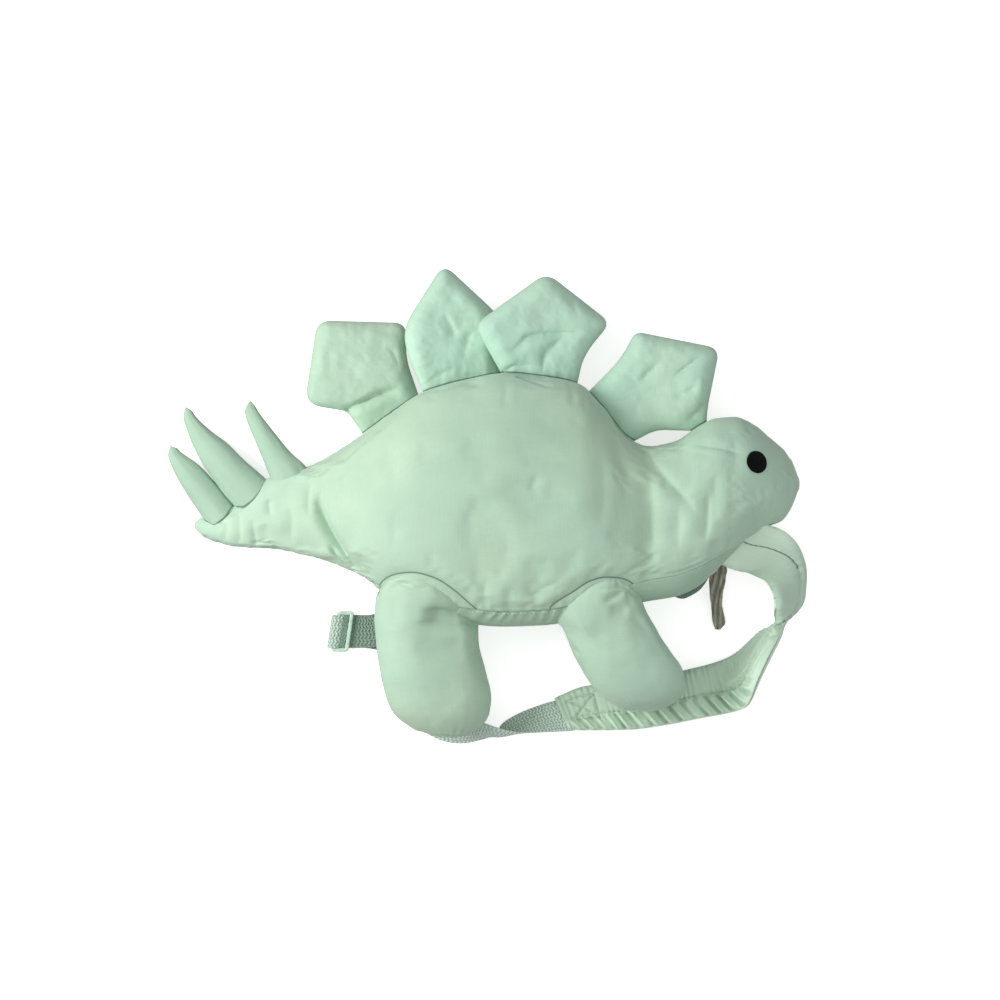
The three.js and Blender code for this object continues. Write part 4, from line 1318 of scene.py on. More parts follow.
@dataclass
class Eye:
    """An embroidered oval eye lying on the head."""

    finish: Material
    wide: float = 15.3
    high: float = 16.9
    turn: float = 0.5
    thick: float = 1.3
    rings: int = 17
    sides: int = 72

    def build(self, body: BodyShell) -> Piece:
        """Makes rings of an oval that follow the head's front, crowned over and flat under."""
        size = np.sin(np.linspace(0.03, 1, self.rings) * np.pi / 2)
        size = np.concatenate([size, size[-2::-1]])[:, None]
        rise = np.concatenate([np.ones(self.rings), np.zeros(self.rings - 1)])[:, None]
        turn = circle(self.sides)[None]
        ragged = 1 + 0.012 * noise(turn * 9, 0.5 + 0 * turn, 71) * size
        a, b = self.wide / 2 * size * ragged * np.cos(turn), self.high / 2 * size * ragged * np.sin(turn)
        x = body.eye[0] + a * math.cos(self.turn) - b * math.sin(self.turn)
        y = body.eye[1] + a * math.sin(self.turn) + b * math.cos(self.turn)
        crown = self.thick * (1.1 - 0.75 * size**4) + 0 * turn
        z = body.front_height(x, y) + 0.6 + rise * crown
        uv = closed(np.stack([b, a], -1) * MM)
        piece = Net(np.stack([x, y, z], -1), Ends.POINT, uv).build("eye_stitching")
        return dress(piece, self.finish, Slot.EYE, "eye")


# Straps


def band(middle: Array, side: Array, normal: Array, half: Array, top: Array, foot: Array) -> Array:
    """Rings of a band: each goes across its top from one edge to the other, and back under it.

    Args:
        middle: Points on the middle line.
        side: Directions across the band.
        normal: Directions over it.
        half: Half widths.
        top: Heights over the middle line, one row for each station.
        foot: Heights under it, as negative values.

    Returns:
        The rings.
    """
    t = np.linspace(-1, 1, top.shape[1])[None, :, None]
    across = middle[:, None] + t * half[:, None, None] * side[:, None]
    over = across + top[..., None] * normal[:, None]
    under = across + foot[..., None] * normal[:, None]
    return np.concatenate([over, under[:, ::-1]], axis=1)


def frames(middle: Array, facing: Array) -> tuple[Array, Array]:
    """Directions across and over a band from its middle line and the way its face looks."""
    heading = unit(np.gradient(middle, axis=0))
    side = unit(np.cross(facing, heading))
    return side, unit(np.cross(heading, side))


@dataclass
class PaddedStrap:
    """The padded strap that shows: a band between an inner and an outer edge, sewn along its length.

    Where the edges come closer in plan than the width, the band stands up on its outer edge, or on
    its inner edge where it is turned. A row of stitches runs along it; outside that row the cloth
    is gathered in slanting ruffles.
    """

    finish: Material
    thick: float = 8.0
    stitch: Run = (
        (0, 0.067, 0.24, 0.4, 0.6, 0.7, 0.82, 0.9, 1), (0.0, 0.09, 0.57, 0.4, 0.25, 0.06, 0.06, 0.2, 0.36),
    )
    sewn_depth: float = 2.4
    plain: float = 0.25
    pitch: float = 10.0
    box: Run = ((28.0, 6.5), (-0.62, 0.42))
    hem: float = 3.4
    stations: int = 460
    across: int = 45
    edges: Table = Table(("innerX", "innerY", "outerX", "outerY", "width", "lift", "raised", "turned"), (
        (161, -27, 199, 0, 44, 25, 12, 0), (172, -40, 211, -13, 44, 24, 13, 0),
        (182.5, -46, 223, -18, 44, 19, 13, 0), (198, -50, 235.5, -30, 42, 12, 11, 0),
        (212, -58, 242.5, -50, 38, 5, 6, 0), (217, -72, 241, -70, 42, 1, 1, 0.1),
        (217, -86, 226, -88, 46, 0, 0, 0.5), (208, -98, 214.5, -105, 46, 0, 0, 0.9),
        (198, -107, 203, -129, 46, 0, 0, 1), (186, -113.5, 195, -151, 45, 0, 0, 1),
        (170, -119, 181, -157, 41, 0, 0, 0.6), (153, -123, 161.5, -161, 39.5, 0, 0, 0),
        (131.5, -129, 136, -166, 37.5, 0, 0, 0), (104, -133.5, 109.5, -169.5, 36.5, 0, 0, 0),
        (75, -136, 84.5, -170, 35, 0, 0, 0), (50, -146, 61, -170, 26.5, 0, 0, 0),
    ), keyed=False, blur=0.012)

    def frame(self) -> tuple[Array, Array, Array, Array, Array]:
        """Middle line, directions across and over the band, half widths and shares along it."""
        share = np.linspace(0, 1, self.stations)
        s = self.edges.at(share)
        plan = np.hypot(s["outerX"] - s["innerX"], s["outerY"] - s["innerY"])
        width = np.maximum(s["width"], plan)
        lean = np.pad(np.arccos(np.clip(plan / width, 0, 1)), 20, mode="edge")
        lean = np.convolve(lean, np.hanning(41) / 20, "valid")
        foot = s["lift"] + 0.2 + self.thick / 2 * (1 - np.sin(lean)) * 1.06
        stand = width * np.sin(lean)
        inner = np.stack([s["innerX"], s["innerY"], foot + (1 - s["turned"]) * stand], -1)
        outer = np.stack([s["outerX"], s["outerY"], foot + s["raised"] + s["turned"] * stand], -1)
        middle = (inner + outer) / 2
        heading = unit(np.gradient(middle, axis=0))
        side = unit(outer - inner)
        normal = unit(np.cross(side, heading))
        normal = normal * np.where(normal[:, 2:] < 0, -1, 1)
        return middle, side, normal, np.linalg.norm(outer - inner, axis=1) / 2, share

    def stitch_at(self, share: Array) -> Array:
        """Where the row of stitches lies across the band, from -1 at its inner to 1 at its outer edge."""
        return np.interp(share, *self.stitch)

    def measures(self, half: Array, share: Array) -> tuple[Array, Array, Array]:
        """Shares across the band, and distances from its nearer edge and outwards from its stitches."""
        t = np.linspace(-1, 1, self.across)[None]
        return t, (1 - np.abs(t)) * half, (t - self.stitch_at(share)) * half

    def quilting(self, along: Array, t: Array, half: Array) -> Array:
        """Grooves sewn at the band's end: a box, its diagonals and the hem.

        Args:
            along: Lengths along the band.
            t: Shares across it.
            half: Its half widths.

        Returns:
            The share of a groove's full depth, which dies out away from the lines of stitches.
        """
        (near, far), (low, high) = self.box
        back = along.max() - along
        u, v = (back - far) / (near - far) - 0.5, (t - low) / (high - low) - 0.5
        long, wide = near - far, (high - low) * half
        out = np.maximum((np.abs(u) - 0.5) * long, (np.abs(v) - 0.5) * wide)
        crossed = np.minimum(np.abs(u - v), np.abs(u + v)) * long * wide / np.hypot(long, wide)
        away = np.minimum(np.abs(out), crossed + 3 * np.maximum(0, out))
        return np.exp(-np.minimum(away, np.abs(back - self.hem)) / 1.1)

    def top(self, along: Array, half: Array, share: Array) -> Array:
        """Height of the top over the middle line.

        A flat top with rounded edges, a channel along the stitches, slanting waves outside the
        channel on the lower run, small puckers along the inner edge and folds where it turns up.

        Args:
            along: Length along the band at each station.
            half: Half width there.
            share: Share of the whole length there.

        Returns:
            One row of heights for each station.
        """
        along, half, share = along[:, None], half[:, None], share[:, None]
        t, from_edge, from_stitch = self.measures(half, share)
        tip = 1 - np.clip((along.max() - along) / 3, 0, 1)
        body = self.thick / 2 * rounded(from_edge, 6, 0.6)
        channel = self.sewn_depth * np.exp(-np.abs(from_stitch) / 1.7)
        lower = ease((share - 0.52) / 0.08)
        free = ease((along.max() - along - self.hem) / 4)
        wave = (along + 0.6 * from_stitch + 3.5 * noise(along / 19, 0.4, 41)) * 2 * np.pi / self.pitch
        strength = 0.7 + 0.4 * noise(along / 13, 2.2, 43)
        ruffle = 4.2 * strength * (np.sin(wave) - 0.35 * np.sin(2 * wave))
        ruffle = ruffle * ease(from_stitch / 3.5) * ease(from_edge / 2)
        fine = gathers(along, from_stitch, pitch=4.6, depth=1.1, reach=4.0, seed=45) * ease(from_edge / 3)
        uneven = along + 3 * noise(along / 7, 0.2, 51)
        inner = gathers(uneven, (1 + t) * half, pitch=4.6, depth=0.7, reach=9.0, seed=47)
        inner = inner * ease(from_edge / 2) * mix(0.8, 1.8, lower)
        turning = between(share, 0.36, 0.66, 0.06)
        line = t * half / 10 + 0.8 * noise(along / 40, t * 2, 49)
        lines = 2 * np.abs(noise(line * 1.3, along / 60, 53)) - 0.5
        quiet = mix(1, 0.35, ease((self.plain - share) / 0.1))
        loose = (lower * ruffle + inner) * free + turning * 3 * lines * ease(from_edge / 4)
        sewn = deepest(channel * quiet, self.sewn_depth * self.quilting(along, t, half))
        return (body - sewn + fine * quiet) * (1 - 0.6 * tip**2) + loose

    def build(self) -> Piece:
        """Makes the band; the underside is plainer, with the same rounded edges."""
        middle, side, normal, half, share = self.frame()
        along = arc_length(middle, 0)
        top = self.top(along, half, share)
        wide, share = half[:, None], share[:, None]
        t, from_edge, from_stitch = self.measures(wide, share)
        net = band(middle, side, normal, half, top, -self.thick / 2 * rounded(from_edge, 5, 0.6))
        frayed = 0.7 * between(share, 0.12, 0.5, 0.08) * noise(along / 5.5, 0.7, 57)[:, None]
        both = np.concatenate([t, t[:, ::-1]], axis=1)
        net += (frayed * ease(-4 * both - 2.6))[..., None] * side[:, None]
        net[..., 2] = np.maximum(net[..., 2], 0.15)
        plain = share < self.plain
        # Painted shade: along the stitches, over the strap beyond its root and less on the lit outer band of the lower
        # run, in the quilted grooves and where the top sinks.
        lit = ease(from_stitch / 4) * ease((share - 0.45) / 0.1)
        sunk = ease((self.thick / 2 - top - 0.6) / 2.4) * ease(from_edge / 2) * ease((share - 0.5) / 0.1)
        painted_shade = deepest(
            np.where(plain, 0.15, 0.58) * np.exp(-np.abs(from_stitch) / 0.9),
            0.42 * ease((share - 0.12) / 0.14) * (1 - 0.6 * lit),
            0.62 * self.quilting(along[:, None], t, wide), 0.5 * sunk,
        )
        marks = {"painted_shade": painted_shade, "seam": np.where(plain, from_stitch, FAR)}
        piece = Net(net, Ends.STRIP, marks=marks).build("belly_strap_pad_cloth")
        return dress(piece, self.finish, Slot.CLOTH, "belly_strap_pad")


@dataclass
class FlatStrap:
    """The second strap, lying flat under the back panel: a padded band and its webbing."""

    cloth: Material
    webbing: Material
    thick: float = 8.0
    web_thick: float = 1.4
    pad: Run = (
        (152, 5, 44), (108, 16, 45), (62, 30, 45), (16, 38, 44), (-26, 36, 40), (-60, 22, 32), (-84, 0, 26.5),
    )
    web: Run = ((-84.9, -1, 25), (-92, -9, 25), (-98, -21, 25), (-101, -37, 25))

    def net(self, rows: Run, thick: float, count: int, across: int, soft: float) -> Array:
        """Rings of a flat band with rounded edges on the floor.

        Args:
            rows: Places in plan and widths along the band.
            thick: Its thickness.
            count: Rings along it.
            across: Points across it.
            soft: Width of its rounded edges.

        Returns:
            The rings.
        """
        s = smooth_values(np.linspace(0, 1, len(rows)), np.array(rows, float), np.linspace(0, 1, count))
        middle = np.stack([s[:, 0], s[:, 1], np.full(count, 0.2 + thick / 2)], -1)
        side, normal = frames(middle, UP + 0 * middle)
        half = s[:, 2] / 2
        from_edge = (1 - np.abs(np.linspace(-1, 1, across)))[None] * half[:, None]
        top = thick / 2 * rounded(from_edge, soft, 0.6)
        along = arc_length(middle, 0)[:, None]
        pucker = gathers(along, from_edge, pitch=6.0, depth=0.08 * thick, reach=5.0, seed=61) * ease(from_edge / 2)
        return band(middle, side, normal, half, top + pucker, -top)

    def build(self) -> list[Piece]:
        """Makes the pad and the webbing."""
        pad = Net(self.net(self.pad, self.thick, 181, 31, 6.0), Ends.STRIP).build("spine_strap_pad_cloth")
        web = Net(self.net(self.web, self.web_thick, 61, 15, 0.6), Ends.STRIP).build("spine_strap_webbing_band")
        dress(pad, self.cloth, Slot.CLOTH, "spine_strap_pad")
        dress(web, self.webbing, Slot.WEBBING, "spine_strap_webbing")
        return [pad, web]


@dataclass
class Webbing:
    """The webbing of the strap that shows: along the floor with a half twist, through the slide, back."""

    finish: Material
    slide: Material
    width: float = 25.0
    thick: float = 1.4
    run: Table = Table(("x", "y", "roll"), (
        (66, -157.8, -176), (54, -159, -160), (42, -161, -143), (31, -163, -129), (21, -165, -114), (12, -166.5, -95),
        (4, -167.5, -70), (-6, -168.5, -46), (-20, -168.5, -20), (-37, -163.5, -2), (-48, -151, 0), (-54.5, -133, 0),
        (-60, -117, 0), (-68.5, -103.5, 0), (-80, -97, 0), (-93, -94.9, 0), (-108, -94.7, 0),
    ), keyed=False, blur=0.015)
    back: Run = (
        (-113.6, -94.7, 7.8), (-112.4, -94.7, 7.7), (-106.3, -94.8, 2.75), (-104.5, -94.8, 2.7),
        (-92, -94.8, 2.7), (-80, -93, 2.9), (-66, -88, 4.5), (-54, -80, 7.5), (-47, -74, 8.5),
    )
    slide_at: Triple = (-109.5, -94.7, 5.3)
    slide_size: Pair = (13.4, 31.0)
    slide_bar: float = 3.0
    skew: float = 0.15
    curl: float = -7.0
    across: int = 25

    def skewed(self, net: Array) -> Array:
        """The net with its end at the slide pulled askew, its upper edge towards the leg."""
        turned = net.copy()
        turned[..., 0] += self.skew * ease((-92 - net[..., 0]) / 12) * (net[..., 1] - self.slide_at[1])
        return turned

    def line(self) -> tuple[Array, Array]:
        """Middle line and facing of the whole band: floor run, bend over the slide's bar, way back."""
        s = self.run.at(np.linspace(0, 1, 240))
        roll = np.radians(s["roll"])
        z = 0.2 + self.thick / 2 + self.width / 2 * np.abs(np.sin(roll))
        floor = np.stack([s["x"], s["y"], z], -1)
        heading = unit(np.gradient(floor, axis=0) * (1, 1, 0))
        lying = -np.stack([np.sin(roll) * heading[:, 1], -np.sin(roll) * heading[:, 0], np.cos(roll)], -1)
        bend = (self.back[0][2] - floor[-1, 2]) / 2
        turn = np.linspace(0, np.pi, 17)[1:-1, None]
        out = np.concatenate([-np.sin(turn), 0 * turn, -np.cos(turn)], axis=1)
        bend_x = self.slide_at[0] - self.slide_size[0] / 2 + 0.7
        over = np.array((bend_x, self.slide_at[1], floor[-1, 2] + bend)) + bend * out
        back = smooth_run(self.back, 90)
        return np.concatenate([floor, over, back]), np.concatenate([lying, out, UP + 0 * back])

    def build_band(self) -> Piece:
        """Makes the band: a flat section with softly rounded selvedges."""
        middle, facing = self.line()
        side, normal = frames(middle, facing)
        t = np.linspace(-1, 1, self.across)[None]
        top = self.thick / 2 * rounded((1 - np.abs(t)) * self.width / 2, 0.9, 0.5) + 0 * middle[:, :1]
        standing = (1 - normal[:, 2:] ** 2) * ease((middle[:, :1] + 60) / 20)
        curl = self.curl * standing * (1 - t**2)
        net = band(middle, side, normal, np.full(len(middle), self.width / 2), curl + top, curl - top)
        net[..., 2] = np.maximum(net[..., 2], 0.1)
        # Painted shade where the band runs from the slide in under the rear leg, lighter at the slide itself.
        painted_shade = mix(0.35, 0.85, ease((net[..., 0] + 108) / 8)) * ease((-70 - net[..., 0]) / 10)
        piece = Net(self.skewed(net), Ends.STRIP, marks={"painted_shade": painted_shade}).build("belly_strap_webbing_band")
        dress(piece, self.finish, Slot.WEBBING, "belly_strap_webbing")
        return piece

    def build_slide(self) -> Piece:
        """Makes the slide: a rounded square bar carried round a rectangle with rounded corners."""
        long, wide = (size / 2 - self.slide_bar / 2 for size in self.slide_size)
        turn = circle(160)
        c, s = np.cos(turn), np.sin(turn)
        reach = 1 / np.maximum(np.abs(c), np.abs(s))
        soft = (np.abs(c * reach) ** 14 + np.abs(s * reach) ** 14) ** (-1 / 14)
        path = np.stack([long * c * reach * soft, wide * s * reach * soft, 0 * c], -1)
        heading = unit(np.roll(path, -1, 0) - np.roll(path, 1, 0))
        a, b = (self.slide_bar / 2 * part[None, :, None] for part in squared(circle(20), 0.55))
        net = path[:, None] + a * np.cross(heading, UP)[:, None] + b * UP
        piece = Net(self.skewed(net + np.array(self.slide_at)), Ends.LOOP).build("belly_strap_slide_moulding")
        return dress(piece, self.slide, Slot.SLIDE, "belly_strap_slide")

    def build(self) -> list[Piece]:
        """Makes the band and its slide."""
        return [self.build_band(), self.build_slide()]


# Zip


@dataclass
class Zip:
    """The zip between gusset and back panel: tape, teeth, slider and ribbon pull."""

    tape: Material
    metal: Material
    ribbon: Material
    sunk: float = 0.6
    tape_thick: float = 1.4
    tooth_pitch: float = 2.0
    slider_x: float = 172.0
    slider: Triple = (9.0, 7.0, 4.4)
    slider_profile: Run = (
        (0.0, 0.84), (0.05, 0.95), (0.14, 1.0), (0.32, 1.0), (0.42, 0.95), (0.46, 0.8), (0.47, 0.5),
    )
    pull_thick: float = 2.6
    pull_across: int = 31
    pull: Table = Table(("x", "y", "z", "width", "roll"), (
        (175.5, -43, 15, 12, 0), (175, -50, 15, 13, 0), (174.5, -57, 14, 12, 8), (174, -65, 11, 10, 18),
        (174.6, -74.5, 7.5, 8.6, 22), (176.2, -84.3, 4.6, 9.4, 10), (177.7, -93, 3, 8, 0),
    ), keyed=False, blur=0.02)

    def seat(self, body: BodyShell, x: Array, inset: float) -> Array:
        """Points on the middle line of the zip, at a depth below the body's skin."""
        return body.skin(x, body.turn_at(x, sum(body.zip_heights(x)) / 2), inset)

    def build_tape(self, body: BodyShell) -> Piece:
        """Makes the tape: the skin between the zip's top and foot, sunk a little, with a raised middle."""
        x = np.linspace(*body.zip_span, 281)[:, None]
        top, foot = body.zip_heights(x)
        u = np.linspace(0, 1, 17)[None]
        turn = body.turn_at(x, mix(top - 0.35, foot + 0.7, u))
        net = body.skin(x, turn, self.sunk)
        net[..., 1] -= 0.5 * np.exp(-(((u - 0.5) / 0.12) ** 2))
        net[..., 1] -= 6.0 * np.exp(-(((x - 156) / 13) ** 4)) * np.sin(np.pi * u) ** 0.5
        inner = body.skin(x, turn, self.sunk + self.tape_thick)
        piece = Net(wall(net, inner), Ends.STRIP).build("zip_tape_band")
        return dress(piece, self.tape, Slot.ZIP_TAPE, "zip_tape")

    def build_teeth(self, body: BodyShell) -> Piece:
        """Makes two rows of coil teeth: small rounded blocks set alternately along the tape's middle."""
        count = int((body.zip_span[1] - body.zip_span[0] - 12) / self.tooth_pitch)
        x = np.linspace(body.zip_span[0] + 6, body.zip_span[1] - 6, count)
        seat = self.seat(body, x, self.sunk)
        heading = unit(np.gradient(seat, axis=0))
        out = unit(np.cross(heading, UP))
        up = np.cross(out, heading)
        up = up * np.sign(up[:, 2:])
        shift = np.where(np.arange(count) % 2 == 0, 0.7, -0.7)[:, None]
        blocks = Blocks(seat + shift * up + 0.35 * out, heading, up, out, (1.3, 2.6, 1.1))
        return dress(blocks.build("zip_teeth"), self.tape, Slot.ZIP_TAPE)

    def build_slider(self, body: BodyShell) -> list[Piece]:
        """Makes the slider: a rounded slab on the teeth with a bridge arching over it."""
        x = np.array([self.slider_x - 2, self.slider_x, self.slider_x + 2])
        seat = self.seat(body, x, -0.55)
        along = unit((seat[2] - seat[0]) * (1, 1, 0))
        away = np.cross(along, UP)
        long, tall, deep = self.slider
        turn = circle(48)[None]
        profile = np.array(self.slider_profile)
        out, size = profile[:, :1], profile[:, 1:]
        a, b = squared(turn, 0.6)
        a, b = 0.5 * long * size * a, 0.5 * tall * size * (1 - 0.16 * np.cos(turn)) * b
        net = seat[1] + (out * deep + 0 * a)[..., None] * away + a[..., None] * along + b[..., None] * UP
        slab = dress(Net(net, Ends.POINT).build("zip_slider_body"), self.metal, Slot.SLIDER, "zip_slider")
        arch = np.linspace(0, np.pi, 33)[:, None]
        path = seat[1] + 0.36 * long * np.cos(arch) * along + deep * (0.42 + 0.55 * np.sin(arch) ** 0.7) * away
        ring = circle(16)[None, :, None]
        thick = np.cross(unit(np.gradient(path, axis=0)), UP)
        net = path[:, None] + 0.55 * np.cos(ring) * thick[:, None] + 1.15 * np.sin(ring) * UP
        return [slab, dress(Net(net, Ends.POINT).build("zip_slider_bridge"), self.metal, Slot.SLIDER)]

    def build_pull(self) -> Piece:
        """Makes the ribbon: a doubled band, twisted, with its fold, edges and crumples along it."""
        share = np.linspace(0, 1, 161)
        s = self.pull.at(share)
        middle = np.stack([s["x"], s["y"], s["z"]], -1)
        roll = np.radians(s["roll"])
        facing = np.stack([-np.sin(roll), 0 * roll, np.cos(roll)], -1)
        side, normal = frames(middle, facing)
        t = np.linspace(-1, 1, self.pull_across)[None]
        half = s["width"] / 2 * (1 + 0.10 * noise(share * 9, 0.2, 81))
        edge = rounded((1 - np.abs(t)) * half[:, None], 1.6, 0.5)
        along = arc_length(middle, 0)[:, None]
        slant = t * half[:, None] + 0.16 * along
        ridges = 0.75 * np.cos(2 * np.pi * slant / 4.2 + 1.2 * noise(along / 9, t, 83))
        top = (self.pull_thick / 2 + ridges) * edge
        foot = -(self.pull_thick / 2 - 0.6 * ridges) * edge
        net = band(middle, side, normal, half, top, foot)
        tail = ease((share - 0.86) / 0.14)[:, None]
        both = np.concatenate([t, t[:, ::-1]], axis=1)
        net[..., 1] += tail * (1.6 * both + 2.4 * both**2)
        net[..., 2] = np.maximum(net[..., 2], 0.4)
        # Painted shade in the valleys between the ribbon's ridges.
        painted_shade = np.clip(-ridges, 0, 1) * 0.9
        marks = {"painted_shade": np.concatenate([painted_shade, painted_shade], axis=1)}
        piece = Net(net, Ends.STRIP, marks=marks).build("zip_pull_ribbon")
        dress(piece, self.ribbon, Slot.RIBBON, "zip_pull")
        return piece

    def build(self, body: BodyShell) -> list[Piece]:
        """Makes all parts of the zip."""
        return [self.build_tape(body), self.build_teeth(body), *self.build_slider(body), self.build_pull()]


# Stitches


@dataclass
class Blocks:
    """Many small rounded blocks, each with its own place and directions, in one mesh."""

    places: Array
    along: Array
    side: Array
    over: Array
    size: Triple

    def build(self, name: str) -> Piece:
        """Makes the mesh: each block is four rings of six points, the end rings smaller."""
        ring = circle(6)
        stops = np.array(((-0.5, 0.45, -0.35), (-0.28, 1.0, 0.0), (0.28, 1.0, 0.0), (0.5, 0.45, -0.35)))
        a = np.broadcast_to(stops[:, :1] * self.size[0], (4, 6))
        b = stops[:, 1:2] * np.cos(ring)[None] * self.size[1] / 2
        c = (stops[:, 1:2] * np.sin(ring)[None] + stops[:, 2:]) * self.size[2] / 2
        local = np.stack([a, b, c], -1).reshape(-1, 3)
        basis = np.stack([self.along, self.side, self.over], 1)
        points = (self.places[:, None] + np.einsum("pk,nkd->npd", local, basis)).reshape(-1, 3)
        ends = np.array(((3, 2, 1, 0), (5, 4, 3, 0), (18, 19, 20, 21), (18, 21, 22, 23)))
        faces = np.concatenate([grid(4, 6), ends])
        a0, b0, c0 = (local[faces[:, k]] for k in (0, 1, 2))
        turned = np.einsum("ij,ij->", a0, np.cross(b0, c0)) * np.linalg.det(basis[0]) < 0
        faces = faces[:, ::-1] if turned else faces
        every = (faces[None] + 24 * np.arange(len(self.places))[:, None, None]).reshape(-1, 4)
        piece = new_piece(name, points, every.tolist())
        uv = np.tile(np.stack([local[:, 0], local[:, 1] + local[:, 2]], -1) * MM, (len(self.places), 1))
        lay_cloth(piece, uv[every.ravel()])
        return piece


@dataclass
class Stitching:
    """Rows of sewing thread that show on the outside."""

    finish: Material
    pitch: float = 3.2
    length: float = 2.3
    thick: float = 0.62
    belly_span: Pair = (-14.0, 52.0)

    def row(self, name: str, points: Array, over: Array) -> Piece:
        """Makes a row of stitches along a run of points, spaced evenly.

        Args:
            name: The piece's name.
            points: A dense run of points on the cloth.
            over: The cloth's normals there.

        Returns:
            The piece.
        """
        length = arc_length(points, 0)
        at = np.arange(self.pitch / 2, length[-1], self.pitch)
        along = unit(spread(at, length, np.gradient(points, axis=0)))
        side = unit(np.cross(unit(spread(at, length, over)), along))
        size = (self.length, self.thick, self.thick)
        blocks = Blocks(spread(at, length, points), along, side, np.cross(along, side), size)
        return dress(blocks.build(name), self.finish, Slot.CLOTH)

    def on_strap(self, strap: PaddedStrap) -> list[Piece]:
        """Makes the row along the strap, its hem and the crossed box at its end."""
        middle, side, normal, half, share = strap.frame()
        along = arc_length(middle, 0)
        top = strap.top(along, half, share)
        t = np.linspace(-1, 1, strap.across)

        def on_top(place: Array, where: Array) -> tuple[Array, Array]:
            """Points and normals of the strap's top at given lengths and shares across it."""
            k = np.clip(np.interp(place, along, np.arange(len(along))).astype(int), 0, len(along) - 1)
            high = np.array([np.interp(w, t, top[i]) for w, i in zip(where, k)])
            points = middle[k] + (where * half[k])[:, None] * side[k] + (high + 0.15)[:, None] * normal[k]
            return points, normal[k]

        end = along[-1]
        long = np.linspace(0.46 * end, end - 6, 300)
        where = strap.stitch_at(np.interp(long, along, share))
        made = [self.row("strap_stitches", *on_top(long, where))]
        hem = np.full(40, end - strap.hem)
        made.append(self.row("strap_hem_stitches", *on_top(hem, np.linspace(-0.85, 0.85, 40))))
        near, far = (end - back for back in strap.box[0])
        low, high = strap.box[1]
        box = (((near, low), (far, low)), ((near, high), (far, high)), ((near, low), (near, high)),
               ((near, low), (far, high)), ((near, high), (far, low)), ((far, low), (far, high)))
        for k, ((a, c), (b, d)) in enumerate(box):
            place, where = np.linspace(a, b, 30), np.linspace(c, d, 30)
            made.append(self.row(f"strap_box_stitches_{k + 1}", *on_top(place, where)))
        return made

    def on_belly(self, body: BodyShell) -> Piece:
        """Makes the row just under the seam of the gusset."""
        x = np.linspace(*self.belly_span, 120)
        turn = body.front_turn(x) + 0.03
        points = body.skin(x, turn, -0.35)
        middle = body.skin(x, turn + 0.02, -0.35)
        heading = unit(np.gradient(points, axis=0))
        over = unit(np.cross(heading, middle - points))
        over = over * np.where(over[:, 1:2] > 0, -1, 1)
        return self.row("belly_seam_stitches", points, over)

    def build(self, strap: PaddedStrap, body: BodyShell) -> list[Piece]:
        """Makes all the rows."""
        return [*self.on_strap(strap), self.on_belly(body)]


# Studio


